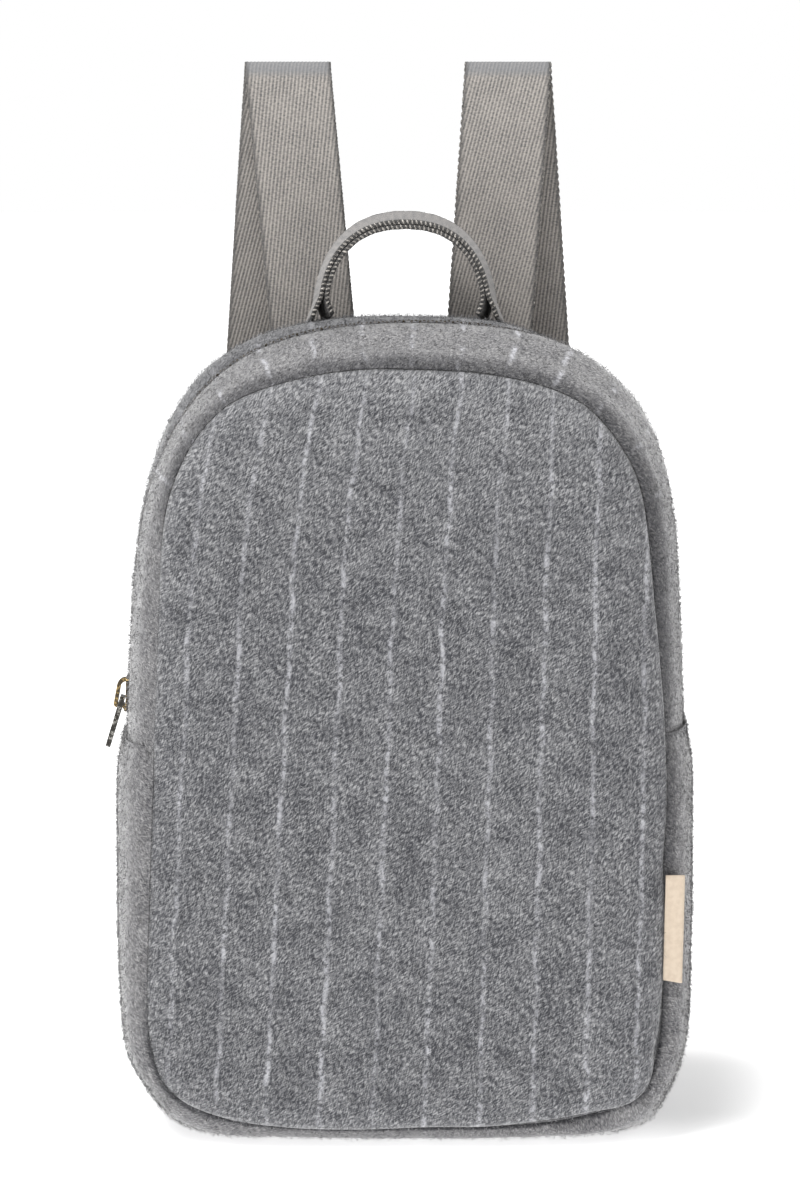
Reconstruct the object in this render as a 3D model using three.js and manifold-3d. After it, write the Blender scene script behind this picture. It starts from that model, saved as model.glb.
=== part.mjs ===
// A mini backpack: an arched soft bag of wool cloth, closed by a zip that runs over its top,
// with a slip pocket on each side, a webbing handle and two webbing shoulder straps that stand
// up in loops behind it. Sizes are in millimetres, +Z is up, the front faces -Y, and the origin
// is the middle of the flat base.
import * as THREE from "three";
import { mergeVertices } from "three/addons/utils/BufferGeometryUtils.js";
import Module from "manifold-3d";

const wasm = await Module();
wasm.setup();

// Walls and clearances
const WOOL_WALL = 2.4; // wool cloth with its thin padding
const POCKET_WALL = 2.4; // a single hemmed layer of wool
const WEBBING_WALL = 1.8;
const SEWN_GAP = 0.3; // between pieces that are sewn together

// Seam outlines of the two panels, seen from the front: an arch on slightly flared sides and a rounded base
const FRONT_SEAM = {
  archHalf: 88,
  baseHalf: 94,
  top: 286,
  bottom: 6,
  baseRise: 58,
  basePower: 4,
  archPower: 2.7,
  archRise: { right: 86, left: 90 },
};
const BACK_SEAM = { ...FRONT_SEAM, baseHalf: 93, top: 288, archPower: 2.95 };
const SEAM_STATIONS = 68; // sections round a whole seam
const STATION_TURN = 0.7; // how much the seam's turning draws its sections together
const FRONT_SEAM_DEPTH = { base: -38, top: -33 }; // the front leans back a little
const BACK_SEAM_DEPTH = 40;

// Puffed panels: a row for each ring in from the seam, with how far it stands proud of the seam's plane
const FRONT_PUFF = [
  { inset: 0.5, proud: 3 },
  { inset: 2, proud: 6 },
  { inset: 5.5, proud: 8.8 },
  { inset: 12, proud: 10.8 },
  { inset: 24, proud: 12 },
];
const FRONT_CROWN = 13;
const BACK_PUFF = [
  { inset: 0.8, proud: 2 },
  { inset: 3.5, proud: 3.4 },
  { inset: 9, proud: 4 },
];
const BACK_CROWN = 4;
const PANEL_CENTRE_Z = 150;
const CROWN_SHARE = 0.55; // a last ring, as a share of the one before it

// Gusset between the two seams: how far it swells out of the line joining them, held in under the pockets
const GUSSET_SWELL = [
  { height: 17, swell: 12.2 },
  { height: 30, swell: 9.8 },
  { height: 50, swell: 8.7 },
  { height: 75, swell: 10.1 },
  { height: 146, swell: 12.2 },
  { height: 170, swell: 12.8 },
  { height: 205, swell: 12.3 },
  { height: 250, swell: 11.2 },
  { height: 290, swell: 11.6 },
];
const CORNER_SWELL = 13.5; // at the lower corners, level with the pockets' lower edges
const BASE_SWELL = 9.5; // under the bag, before the floor flattens it
// How much less the gusset swells at the left shoulder, round the seam from the base's middle
const SHOULDER_SLACK = [
  { share: 0.5, slack: 0 },
  { share: 0.56, slack: 2 },
  { share: 0.595, slack: 3.2 },
  { share: 0.62, slack: 3.3 },
  { share: 0.65, slack: 1.9 },
  { share: 0.68, slack: 0.7 },
  { share: 0.71, slack: 0 },
];
const GUSSET_POWER = { side: 2.4, top: 1.75 }; // 2 is an ellipse, more is squarer
// How far the gusset stands fuller behind the zip
const BACK_FULL = [
  { share: 0.4, full: 0 },
  { share: 0.5, full: 1 },
  { share: 0.58, full: 3.6 },
  { share: 0.66, full: 1.6 },
  { share: 0.72, full: 0 },
];
const SEAM_ROLL = { reach: 2.5, span: Math.PI / 5 }; // how the gusset rolls out beside its seams
const JOIN_HEIGHT = 141; // where the zip bands meet the base band, behind the pocket rims
const BAND_STEPS = 5;
const BASE_STEPS = 10;

// Pockets
const POCKET = { rim: { left: 149, right: 153.5 }, bottom: 17, slack: 0.4, mouth: 0.4 };
const POCKET_EDGE = { wall: 0.9, rimWall: 1.5, lowWall: 0.9, fade: 14, angle: 0.034 };

// Zip
const ZIP = { depth: 2.5, slotHalf: 3, tapeHalf: 7.5, tapeWall: 0.8, teethHalf: 2.5, teethRise: 1.6 };
const TAPE_DROOP = 0.8; // how far the tape's edges bend down over the top
const BAND_LIP = 1; // how far each band's edge rolls in at the zip
const SLIDER = { height: 158.4, half: 4, length: 12, plate: 1.3, slotHalf: 4.8, slotReach: 22 };
const SLIDER_POST = { half: 1.3, length: 2.8, low: -5.4 };
const CROWN = { half: 1.3, leg: 1.2, span: 11, rise: 4.6, topRise: 3.4, foot: 1.5 };
const PULL = { length: 19.2, eyeHalf: 3.2, tipHalf: 2.6, wall: 1.7, bar: 1.4, lean: 16 };
const PULL_EYE = { half: 1.8, length: 7.6 };
const PULL_PIVOT = { out: 1.5, along: -2.2 }; // from the slider's face and middle

// Webbing
const STRAP_WIDTH = 32;
const STRAP_FOLD = { top: 390, radius: 3.4 };
const STRAPS = [
  { name: "strap_left", side: -1, sewnX: 32, foldX: 43.8, footX: 70 },
  { name: "strap_right", side: 1, sewnX: 30, foldX: 38.6, footX: 65 },
];
// The rising run from the sewn end to the fold, and the falling run from the fold to the foot:
// height above the floor, and distance of the strap's middle behind the back panel's face
const STRAP_RISE = [
  { height: 244, behind: 1.2 },
  { height: 262, behind: 1.2 },
  { height: 284, behind: 2.4 },
  { height: 330, behind: 5 },
];
const STRAP_FALL = [
  { height: 360, behind: 14.5 },
  { height: 310, behind: 18 },
  { height: 240, behind: 22.5 },
  { height: 165, behind: 23 },
  { height: 105, behind: 17.5 },
  { height: 66, behind: 7 },
  { height: 50, behind: 1.6 },
  { height: 40, behind: 1.2 },
  { height: 30, behind: 1.2 },
];
const STRAP_STEPS = 2; // sections between two rows

const HANDLE = {
  wall: 3.7, // two layers of webbing
  footWall: 9,
  footRise: 9, // height over which the feet spread
  footGap: 0.5,
  front: { depth: 14, half: 30, top: 331.5 },
  back: { depth: 33, half: 33, top: 333.7 },
  power: 2.3,
  steps: 24,
};

// Label tab in the right-hand front seam
const LABEL = { low: 62, high: 101, width: 6, wall: 0.8, out: 0.5, ahead: 2.6, lean: 1.2 };

const COLOURS = { wool: "#8b8c8f", webbing: "#8f8b83", metal: "#3b3630", tape: "#55565a", label: "#f2dfc0" };

const lerp = THREE.MathUtils.lerp;
const ease = THREE.MathUtils.smoothstep;

// Raises a cosine or sine to the power that turns an ellipse into a superellipse.
function rounded(value, power) {
  return Math.sign(value) * Math.abs(value) ** (2 / power);
}

// The value in a table's column at a place between its rows.
function tableAt(rows, key, place, column) {
  const held = THREE.MathUtils.clamp(place, rows[0][key], rows.at(-1)[key]);
  const i = Math.max(rows.findIndex((row) => row[key] >= held), 1);
  const [before, after] = [rows[i - 1], rows[i]];
  return lerp(before[column], after[column], (held - before[key]) / (after[key] - before[key]));
}

// The closed curve of a panel's seam, from the middle of the base round by the right-hand side.
function seamCurve(seam) {
  const quarter = 14;
  const sideUp = (archRise) => {
    const points = [];
    for (let i = 0; i <= quarter; i++) {
      const angle = (-Math.PI / 2) * (1 - i / quarter);
      const x = seam.baseHalf * rounded(Math.cos(angle), seam.basePower);
      const z = seam.bottom + seam.baseRise * (1 + rounded(Math.sin(angle), seam.basePower));
      points.push(new THREE.Vector3(x, 0, z));
    }
    for (let i = 0; i <= quarter; i++) {
      const angle = (Math.PI / 2) * (i / quarter);
      const x = seam.archHalf * rounded(Math.cos(angle), seam.archPower);
      const z = seam.top - archRise * (1 - rounded(Math.sin(angle), seam.archPower));
      points.push(new THREE.Vector3(x, 0, z));
    }
    return points;
  };
  const right = sideUp(seam.archRise.right);
  const left = sideUp(seam.archRise.left).slice(1, -1).reverse().map((p) => new THREE.Vector3(-p.x, 0, p.z));
  const curve = new THREE.CatmullRomCurve3([...right, ...left], true, "centripetal");
  curve.arcLengthDivisions = 1600;
  return curve;
}

const frontCurve = seamCurve(FRONT_SEAM);
const backCurve = seamCurve(BACK_SEAM);

function frontDepth(z) {
  return lerp(FRONT_SEAM_DEPTH.base, FRONT_SEAM_DEPTH.top, z / FRONT_SEAM.top);
}

// A place on a seam: its point and its outward normal, both seen from the front.
function seamAt(curve, share) {
  const u = share - Math.floor(share);
  const point = curve.getPointAt(u);
  const tangent = curve.getTangentAt(u);
  return { point, normal: new THREE.Vector3(tangent.z, 0, -tangent.x).normalize() };
}

// The share of the way round the seam where its right-hand side has the given height.
function shareAtHeight(height) {
  let low = 0;
  let high = 0.5;
  for (let i = 0; i < 40; i++) {
    const middle = (low + high) / 2;
    if (frontCurve.getPointAt(middle).z < height) low = middle;
    else high = middle;
  }
  return low;
}

// The seam's stations, as shares of the way round: even on both sides, and closer where it turns.
function seamStations(curve) {
  const samples = 400;
  const half = SEAM_STATIONS / 2;
  const shareOf = (i) => i / samples / 2;
  const rows = [{ share: 0, run: 0 }];
  for (let i = 1; i <= samples; i++) {
    const turn = curve.getTangentAt(shareOf(i - 1)).angleTo(curve.getTangentAt(shareOf(i)));
    const run = rows.at(-1).run + 1 / samples + (STATION_TURN * turn) / Math.PI;
    rows.push({ share: shareOf(i), run });
  }
  const whole = rows.at(-1).run;
  const right = Array.from({ length: half + 1 }, (_, i) => tableAt(rows, "run", (whole * i) / half, "share"));
  const left = right.slice(1, -1).reverse().map((share) => 1 - share);
  return [...right, ...left];
}

const stations = seamStations(frontCurve);

// Shares from the first stop to the last, through every stop and every station between them.
function stationShares(...stops) {
  const apart = 0.002;
  const twiceRound = [...stations.map((share) => share - 1), ...stations];
  const shares = twiceRound.filter(
    (share) =>
      share > stops[0] && share < stops.at(-1) && stops.every((stop) => Math.abs(stop - share) > apart),
  );
  return [...stops, ...shares].sort((a, b) => a - b);
}

// A place on the gusset: lift is measured out from the surface ruled between the two seams,
// and nothing goes below the floor height given.
function gussetPoint(share, depth, lift, floor) {
  const front = seamAt(frontCurve, share);
  const back = seamAt(backCurve, share);
  const nearest = frontDepth(front.point.z);
  const across = (depth - nearest) / (BACK_SEAM_DEPTH - nearest);
  const normal = front.normal.lerp(back.normal, across).normalize();
  const place = front.point.lerp(back.point, across).addScaledVector(normal, lift);
  return new THREE.Vector3(place.x, depth, Math.max(place.z, floor));
}

// How far the gusset swells at a place round the seam.
function swellAt(share) {
  const { point, normal } = seamAt(frontCurve, share);
  const beside = tableAt(GUSSET_SWELL, "height", point.z, "swell");
  const side = point.z < POCKET.bottom - 0.5 ? CORNER_SWELL : beside;
  const slack = tableAt(SHOULDER_SLACK, "share", share - Math.floor(share), "slack");
  return lerp(side - slack, BASE_SWELL, ease(-normal.z, 0.97, 1));
}

// How far a place round the seam is over the top of the bag, from 0 on its sides to 1.
function overTop(share) {
  return ease(seamAt(frontCurve, share).normal.z, 0.2, 0.9);
}

function gussetPower(share) {
  return lerp(GUSSET_POWER.side, GUSSET_POWER.top, overTop(share));
}

// How much further the gusset stands out behind the zip than in front of it.
function backFull(share, depth) {
  const from = ZIP.depth + ZIP.slotHalf;
  const along = THREE.MathUtils.clamp((depth - from) / (BACK_SEAM_DEPTH - from), 0, 1);
  return tableAt(BACK_FULL, "share", share - Math.floor(share), "full") * Math.sin(Math.PI * Math.sqrt(along));
}

function evenAngles(from, to, steps) {
  return Array.from({ length: steps + 1 }, (_, i) => lerp(from, to, i / steps));
}

// The gusset's section at a place round the seam, as depth and lift, at each of the angles given:
// 0 is the front seam and pi the back one.
function gussetSection(share, angles) {
  const nearest = frontDepth(seamAt(frontCurve, share).point.z);
  const middle = (nearest + BACK_SEAM_DEPTH) / 2;
  const half = (BACK_SEAM_DEPTH - nearest) / 2;
  const swell = swellAt(share);
  const power = gussetPower(share);
  const roll = (angle) => SEAM_ROLL.reach * Math.sin(Math.PI * Math.min(angle / SEAM_ROLL.span, 1));
  return angles.map((angle) => {
    const depth = middle - half * rounded(Math.cos(angle), power) - roll(angle) + roll(Math.PI - angle);
    const lift = swell * rounded(Math.max(Math.sin(angle), 0), power);
    return { depth, lift: lift + backFull(share, depth) };
  });
}

// The angle of the gusset's section at a given depth, clear of the rolls beside its seams.
function gussetAngle(share, depth) {
  const nearest = frontDepth(seamAt(frontCurve, share).point.z);
  const middle = (nearest + BACK_SEAM_DEPTH) / 2;
  const half = (BACK_SEAM_DEPTH - nearest) / 2;
  const reach = (middle - depth) / half;
  return Math.acos(Math.sign(reach) * Math.abs(reach) ** (gussetPower(share) / 2));
}

// Moves a section inwards by the distance given for each point, square to its own line.
function offsetSection(section, distanceAt) {
  return section.map((p, i) => {
    const before = section[Math.max(i - 1, 0)];
    const after = section[Math.min(i + 1, section.length - 1)];
    const run = Math.hypot(after.depth - before.depth, after.lift - before.lift);
    const distance = distanceAt(i);
    return {
      depth: p.depth + (distance * (after.lift - before.lift)) / run,
      lift: p.lift - (distance * (after.depth - before.depth)) / run,
    };
  });
}

// A closed geometry from points and triangles, with its faces turned outwards.
function closedGeometry(points, triangles) {
  const position = new Float32Array(points.flatMap((p) => [p.x, p.y, p.z]));
  let volume = 0;
  for (const [a, b, c] of triangles) {
    volume += points[a].dot(new THREE.Vector3().crossVectors(points[b], points[c]));
  }
  const index = triangles.flatMap(([a, b, c]) => (volume < 0 ? [a, c, b] : [a, b, c]));
  const geometry = new THREE.BufferGeometry();
  geometry.setAttribute("position", new THREE.BufferAttribute(position, 3));
  geometry.setIndex(index);
  geometry.computeVertexNormals();
  return geometry;
}

// A wall lofted through sections, each with an outer and an inner row of as many points, closed at both ends.
function wallGeometry(sections) {
  const row = sections[0].outer.length;
  const ring = 2 * row;
  const points = sections.flatMap((s) => [...s.outer, ...s.inner.slice().reverse()]);
  const triangles = [];
  for (let s = 0; s + 1 < sections.length; s++) {
    for (let k = 0; k < ring; k++) {
      const a = s * ring + k;
      const b = s * ring + ((k + 1) % ring);
      triangles.push([a, b, a + ring], [b, b + ring, a + ring]);
    }
  }
  const last = (sections.length - 1) * ring;
  for (let k = 0; k + 1 < row; k++) {
    const far = ring - 1 - k;
    triangles.push([k, far, k + 1], [k + 1, far, far - 1]);
    triangles.push([last + k, last + k + 1, last + far], [last + k + 1, last + far - 1, last + far]);
  }
  return closedGeometry(points, triangles);
}

// A dished panel: closed rings from its outer middle over its edge to its inner middle.
function dishGeometry(outerPole, rings, innerPole) {
  const count = rings[0].length;
  const points = [outerPole, ...rings.flat(), innerPole];
  const triangles = [];
  for (let k = 0; k < count; k++) {
    const next = (k + 1) % count;
    triangles.push([0, 1 + k, 1 + next]);
    for (let r = 0; r + 1 < rings.length; r++) {
      const a = 1 + r * count;
      triangles.push([a + k, a + count + k, a + next], [a + next, a + count + k, a + count + next]);
    }
    const last = 1 + (rings.length - 1) * count;
    triangles.push([last + k, points.length - 1, last + next]);
  }
  return closedGeometry(points, triangles);
}

function toSolid(geometry) {
  const bare = geometry.clone();
  bare.deleteAttribute("normal");
  bare.deleteAttribute("uv");
  const merged = mergeVertices(bare, 1e-4);
  const triVerts = new Uint32Array(merged.index.array);
  return new wasm.Manifold(
    new wasm.Mesh({ numProp: 3, vertProperties: merged.attributes.position.array, triVerts }),
  );
}

function fromSolid(solid) {
  const mesh = solid.getMesh();
  const geometry = new THREE.BufferGeometry();
  geometry.setAttribute("position", new THREE.BufferAttribute(mesh.vertProperties, 3));
  geometry.setIndex(new THREE.BufferAttribute(mesh.triVerts, 1));
  geometry.computeVertexNormals();
  return geometry;
}

function block(low, high) {
  const size = high.clone().sub(low);
  const middle = low.clone().add(high).multiplyScalar(0.5);
  return new THREE.BoxGeometry(size.x, size.y, size.z).translate(middle.x, middle.y, middle.z);
}

// A panel between its seam and its crown. The wall's edge is mitred to meet the gusset's.
function panelGeometry({ curve, depthAt, facing, puff, crown }) {
  const widest = puff.at(-1);
  const ringAt = (inset, proud) =>
    stations.map((share) => {
      const { point, normal } = seamAt(curve, share);
      const toMiddle = new THREE.Vector3(-point.x, 0, PANEL_CENTRE_Z - point.z).normalize();
      const inwards = normal.negate().lerp(toMiddle, Math.min(inset / widest.inset, 1)).normalize();
      const place = point.addScaledVector(inwards, inset);
      return new THREE.Vector3(place.x, depthAt(place.z) + facing * proud, place.z);
    });
  const middle = new THREE.Vector3(0, depthAt(PANEL_CENTRE_Z) + facing * crown, PANEL_CENTRE_Z);
  const crowned = lerp(crown, widest.proud, CROWN_SHARE ** 2);
  const shrunk = (ring, wall) =>
    ring.map((p) => {
      const z = lerp(PANEL_CENTRE_Z, p.z, CROWN_SHARE);
      return new THREE.Vector3(p.x * CROWN_SHARE, depthAt(z) + facing * (crowned - wall), z);
    });

  const side = (wall) => {
    const inwards = (row) => row.inset + 0.7 * wall * (1 - row.inset / widest.inset);
    const rings = puff.map((row) => ringAt(inwards(row), row.proud - wall));
    return crown > widest.proud ? [...rings, shrunk(rings.at(-1), wall)] : rings;
  };
  const outside = [ringAt(SEWN_GAP / 2, -SEWN_GAP / 2), ...side(0)];
  const inside = [ringAt(WOOL_WALL + SEWN_GAP / 2, -WOOL_WALL - SEWN_GAP / 2), ...side(WOOL_WALL)];
  const innerPole = middle.clone();
  innerPole.y -= facing * WOOL_WALL;
  return dishGeometry(middle, [...outside.reverse(), ...inside], innerPole);
}

const frontPanel = () =>
  panelGeometry({ curve: frontCurve, depthAt: frontDepth, facing: -1, puff: FRONT_PUFF, crown: FRONT_CROWN });

const backPanel = () =>
  panelGeometry({
    curve: backCurve,
    depthAt: () => BACK_SEAM_DEPTH,
    facing: 1,
    puff: BACK_PUFF,
    crown: BACK_CROWN,
  });

// Gives a gusset section its wall, mitred where it meets a seam, as points in space.
function gussetWall(share, section, meetsFront, meetsBack) {
  const inner = offsetSection(section, () => WOOL_WALL);
  const outer = section.map((p) => ({ ...p }));
  const mitre = (i, inwards) => {
    outer[i] = { depth: section[i].depth + (inwards * SEWN_GAP) / 2, lift: SEWN_GAP / 2 };
    const depth = section[i].depth + inwards * (WOOL_WALL + SEWN_GAP / 2);
    inner[i] = { depth, lift: SEWN_GAP / 2 - WOOL_WALL };
  };
  if (meetsFront) mitre(0, 1);
  if (meetsBack) mitre(section.length - 1, -1);
  return {
    outer: outer.map((p) => gussetPoint(share, p.depth, p.lift, 0)),
    inner: inner.map((p) => gussetPoint(share, p.depth, p.lift, WOOL_WALL)),
  };
}

const joinShare = shareAtHeight(JOIN_HEIGHT);
const sliderShare = 1 - shareAtHeight(SLIDER.height);
const seamLength = frontCurve.getLength();
const zipFrom = joinShare + SEWN_GAP / seamLength;
const zipTo = 1 - zipFrom;

// Half the width of the slot between the two zip bands, which the slider spreads.
function slotHalf(share) {
  const away = Math.abs(share - sliderShare) * seamLength;
  return lerp(SLIDER.slotHalf, ZIP.slotHalf, ease(away, SLIDER.slotReach / 2, SLIDER.slotReach));
}

// One of the two bands beside the zip: side -1 is the front one, 1 the back one.
function zipBand(side) {
  const sections = stationShares(zipFrom, zipTo).map((share) => {
    const edge = gussetAngle(share, ZIP.depth + side * slotHalf(share));
    const angles = side < 0 ? evenAngles(0, edge, BAND_STEPS) : evenAngles(edge, Math.PI, BAND_STEPS);
    const section = gussetSection(share, angles);
    const wall = gussetWall(share, section, side < 0, side > 0);
    const lip = side < 0 ? BAND_STEPS : 0;
    wall.outer[lip] = gussetPoint(share, section[lip].depth, section[lip].lift - BAND_LIP, 0);
    return wall;
  });
  return wallGeometry(sections);
}

function gussetBase() {
  const low = shareAtHeight(POCKET.bottom);
  const under = shareAtHeight(POCKET.bottom - 1.5);
  const sections = stationShares(-joinShare, -low, -under, under, low, joinShare).map((share) =>
    gussetWall(share, gussetSection(share, evenAngles(0, Math.PI, BASE_STEPS)), true, true),
  );
  return wallGeometry(sections);
}

// A slip pocket over one side of the base band, from seam to seam and open at its rim.
function pocket(side) {
  const low = shareAtHeight(POCKET.bottom);
  const rim = side > 0 ? POCKET.rim.right : POCKET.rim.left;
  const high = shareAtHeight(rim);
  const between = evenAngles(0, Math.PI, BASE_STEPS).slice(1, -1);
  const angles = [0, POCKET_EDGE.angle, ...between, Math.PI - POCKET_EDGE.angle, Math.PI];
  const wallRows = angles.length - 2;
  const sections = stationShares(low, high).map((share) => {
    const height = frontCurve.getPointAt(share).z;
    const place = side > 0 ? share : 1 - share;
    const line = gussetSection(place, angles);
    const upper = lerp(POCKET_WALL, POCKET_EDGE.rimWall, ease(height, rim - 8, rim));
    const fade = ease(height, POCKET.bottom, POCKET.bottom + POCKET_EDGE.fade);
    const full = lerp(POCKET_EDGE.lowWall, upper, fade);
    const open = POCKET.mouth * ease(height, rim - 30, rim);
    const middling = (i) => Math.sin((Math.PI * (i - 1)) / (wallRows - 1));
    const lift = (i) => -POCKET.slack - open * middling(i);
    const inner = offsetSection(line, lift);
    const wall = (i) => lerp(POCKET_EDGE.wall, full, Math.min(1, 3 * middling(i)));
    const outer = offsetSection(line, (i) => lift(i) - wall(i));
    const toSpace = (rows) => rows.slice(1, -1).map((p) => gussetPoint(place, p.depth, p.lift, 0));
    return { outer: toSpace(outer), inner: toSpace(inner) };
  });
  return wallGeometry(sections);
}

// The lift of the zip tape's middle, which lies under the edges of its bands.
function zipLift(share) {
  const edge = gussetSection(share, [gussetAngle(share, ZIP.depth - ZIP.slotHalf)])[0];
  return edge.lift - WOOL_WALL - SEWN_GAP - ZIP.tapeWall / 2;
}

function zipChain() {
  const half = ZIP.tapeWall / 2;
  const profile = [
    { across: -ZIP.tapeHalf, rise: 0, droop: TAPE_DROOP },
    { across: -ZIP.teethHalf, rise: 0, droop: 0 },
    { across: 0.2 - ZIP.teethHalf, rise: ZIP.teethRise, droop: 0 },
    { across: ZIP.teethHalf - 0.2, rise: ZIP.teethRise, droop: 0 },
    { across: ZIP.teethHalf, rise: 0, droop: 0 },
    { across: ZIP.tapeHalf, rise: 0, droop: TAPE_DROOP },
  ];
  const end = zipTo - SEWN_GAP / seamLength;
  const sections = stationShares(1 - end, end).map((share) => {
    const at = (p, rise) => {
      const lift = zipLift(share) - p.droop * overTop(share) + rise;
      return gussetPoint(share, ZIP.depth + p.across, lift, 0);
    };
    return {
      outer: profile.map((p) => at(p, half + p.rise)),
      inner: profile.map((p) => at(p, -half)),
    };
  });
  return wallGeometry(sections);
}

// Where the slider sits: a frame on the left-hand side of the zip.
function sliderFrame() {
  const reach = SLIDER.length / 2 / seamLength;
  const at = (share) => gussetPoint(share, ZIP.depth, zipLift(share), 0);
  const up = at(sliderShare - reach).sub(at(sliderShare + reach)).normalize();
  const across = new THREE.Vector3(0, -1, 0);
  const out = new THREE.Vector3().crossVectors(across, up).normalize();
  const frame = new THREE.Matrix4().makeBasis(out, across, up);
  return frame.setPosition(at(sliderShare));
}

const plateFrom = ZIP.tapeWall / 2 + ZIP.teethRise + 0.4;
const sliderFace = plateFrom + SLIDER.plate;
const underFace = -ZIP.tapeWall / 2 - 0.4;

// The post between the slider's plates, grown by a clearance.
function sliderPost(clear, from, to) {
  const low = new THREE.Vector3(from, -SLIDER_POST.half - clear, SLIDER_POST.low - clear);
  const high = new THREE.Vector3(to, SLIDER_POST.half + clear, SLIDER_POST.low + SLIDER_POST.length + clear);
  return block(low, high);
}

// The slider: two plates on a post, and the crown that the pull hangs from.
function zipSlider() {
  const nose = SLIDER.length / 2;
  const plate = new THREE.Shape();
  plate.moveTo(-SLIDER.half + 1, -nose);
  plate.lineTo(SLIDER.half - 1, -nose);
  plate.lineTo(SLIDER.half, -nose + 3);
  plate.lineTo(SLIDER.half - 0.8, nose - 1);
  plate.lineTo(SLIDER.half - 2, nose);
  plate.lineTo(-SLIDER.half + 2, nose);
  plate.lineTo(-SLIDER.half + 0.8, nose - 1);
  plate.lineTo(-SLIDER.half, -nose + 3);
  const upright = new THREE.Matrix4().makeBasis(
    new THREE.Vector3(0, 1, 0),
    new THREE.Vector3(0, 0, 1),
    new THREE.Vector3(1, 0, 0),
  );
  const plateAt = (from) =>
    new THREE.ExtrudeGeometry(plate, { depth: SLIDER.plate, bevelEnabled: false })
      .applyMatrix4(upright)
      .translate(from, 0, 0);

  const reach = CROWN.span / 2;
  const arch = new THREE.Shape();
  arch.moveTo(-reach - CROWN.foot, 0);
  arch.lineTo(-reach - CROWN.foot, CROWN.leg / 2);
  arch.lineTo(-reach, CROWN.leg);
  arch.lineTo(-reach, CROWN.rise - 1.4);
  arch.quadraticCurveTo(-reach, CROWN.rise, -reach + 1.4, CROWN.rise);
  arch.lineTo(reach - 2.6, CROWN.topRise);
  arch.quadraticCurveTo(reach, CROWN.topRise - 0.6, reach, 0);
  const inside = reach - CROWN.leg;
  const window = new THREE.Path();
  window.moveTo(-inside, 0.02);
  window.lineTo(inside, 0.02);
  window.quadraticCurveTo(inside, CROWN.topRise - CROWN.leg - 0.3, inside - 1.8, CROWN.topRise - CROWN.leg);
  window.lineTo(-inside, CROWN.rise - CROWN.leg);
  arch.holes.push(window);
  const standing = new THREE.Matrix4().makeBasis(
    new THREE.Vector3(0, 0, 1),
    new THREE.Vector3(1, 0, 0),
    new THREE.Vector3(0, 1, 0),
  );
  const bent = { depth: 2 * CROWN.half, bevelEnabled: false, curveSegments: 5 };
  const crown = new THREE.ExtrudeGeometry(arch, bent)
    .translate(0, 0, -CROWN.half)
    .applyMatrix4(standing)
    .translate(sliderFace - 0.02, 0, 0);

  const body = toSolid(plateAt(plateFrom))
    .add(toSolid(plateAt(underFace - SLIDER.plate)))
    .add(toSolid(sliderPost(0, underFace - 0.2, plateFrom + 0.2)))
    .add(toSolid(crown));
  return fromSolid(body);
}

// The pull, hung by its eye in the crown: its plate lies in the XZ plane's own frame before it leans out.
function zipPull() {
  const bar = PULL.bar / 2;
  const outline = new THREE.Shape();
  outline.moveTo(-PULL.eyeHalf, -bar + 0.7);
  outline.lineTo(-PULL.eyeHalf + 0.7, -bar);
  outline.lineTo(PULL.eyeHalf - 0.7, -bar);
  outline.lineTo(PULL.eyeHalf, -bar + 0.7);
  outline.lineTo(PULL.eyeHalf, PULL_EYE.length - 1);
  outline.lineTo(PULL.tipHalf, PULL_EYE.length + 2);
  outline.lineTo(PULL.tipHalf, PULL.length - PULL.tipHalf);
  outline.absarc(0, PULL.length - PULL.tipHalf, PULL.tipHalf, 0, Math.PI, false);
  outline.lineTo(-PULL.tipHalf, PULL_EYE.length + 2);
  outline.lineTo(-PULL.eyeHalf, PULL_EYE.length - 1);
  const eye = new THREE.Path();
  eye.moveTo(-PULL_EYE.half, bar);
  eye.lineTo(PULL_EYE.half, bar);
  eye.lineTo(PULL_EYE.half, PULL_EYE.length - PULL_EYE.half);
  eye.absarc(0, PULL_EYE.length - PULL_EYE.half, PULL_EYE.half, 0, Math.PI, false);
  outline.holes.push(eye);
  const hanging = new THREE.Matrix4().makeBasis(
    new THREE.Vector3(0, 1, 0),
    new THREE.Vector3(0, 0, -1),
    new THREE.Vector3(-1, 0, 0),
  );
  return new THREE.ExtrudeGeometry(outline, { depth: PULL.wall, bevelEnabled: false, curveSegments: 6 })
    .translate(0, 0, -PULL.wall / 2)
    .applyMatrix4(hanging);
}

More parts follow.
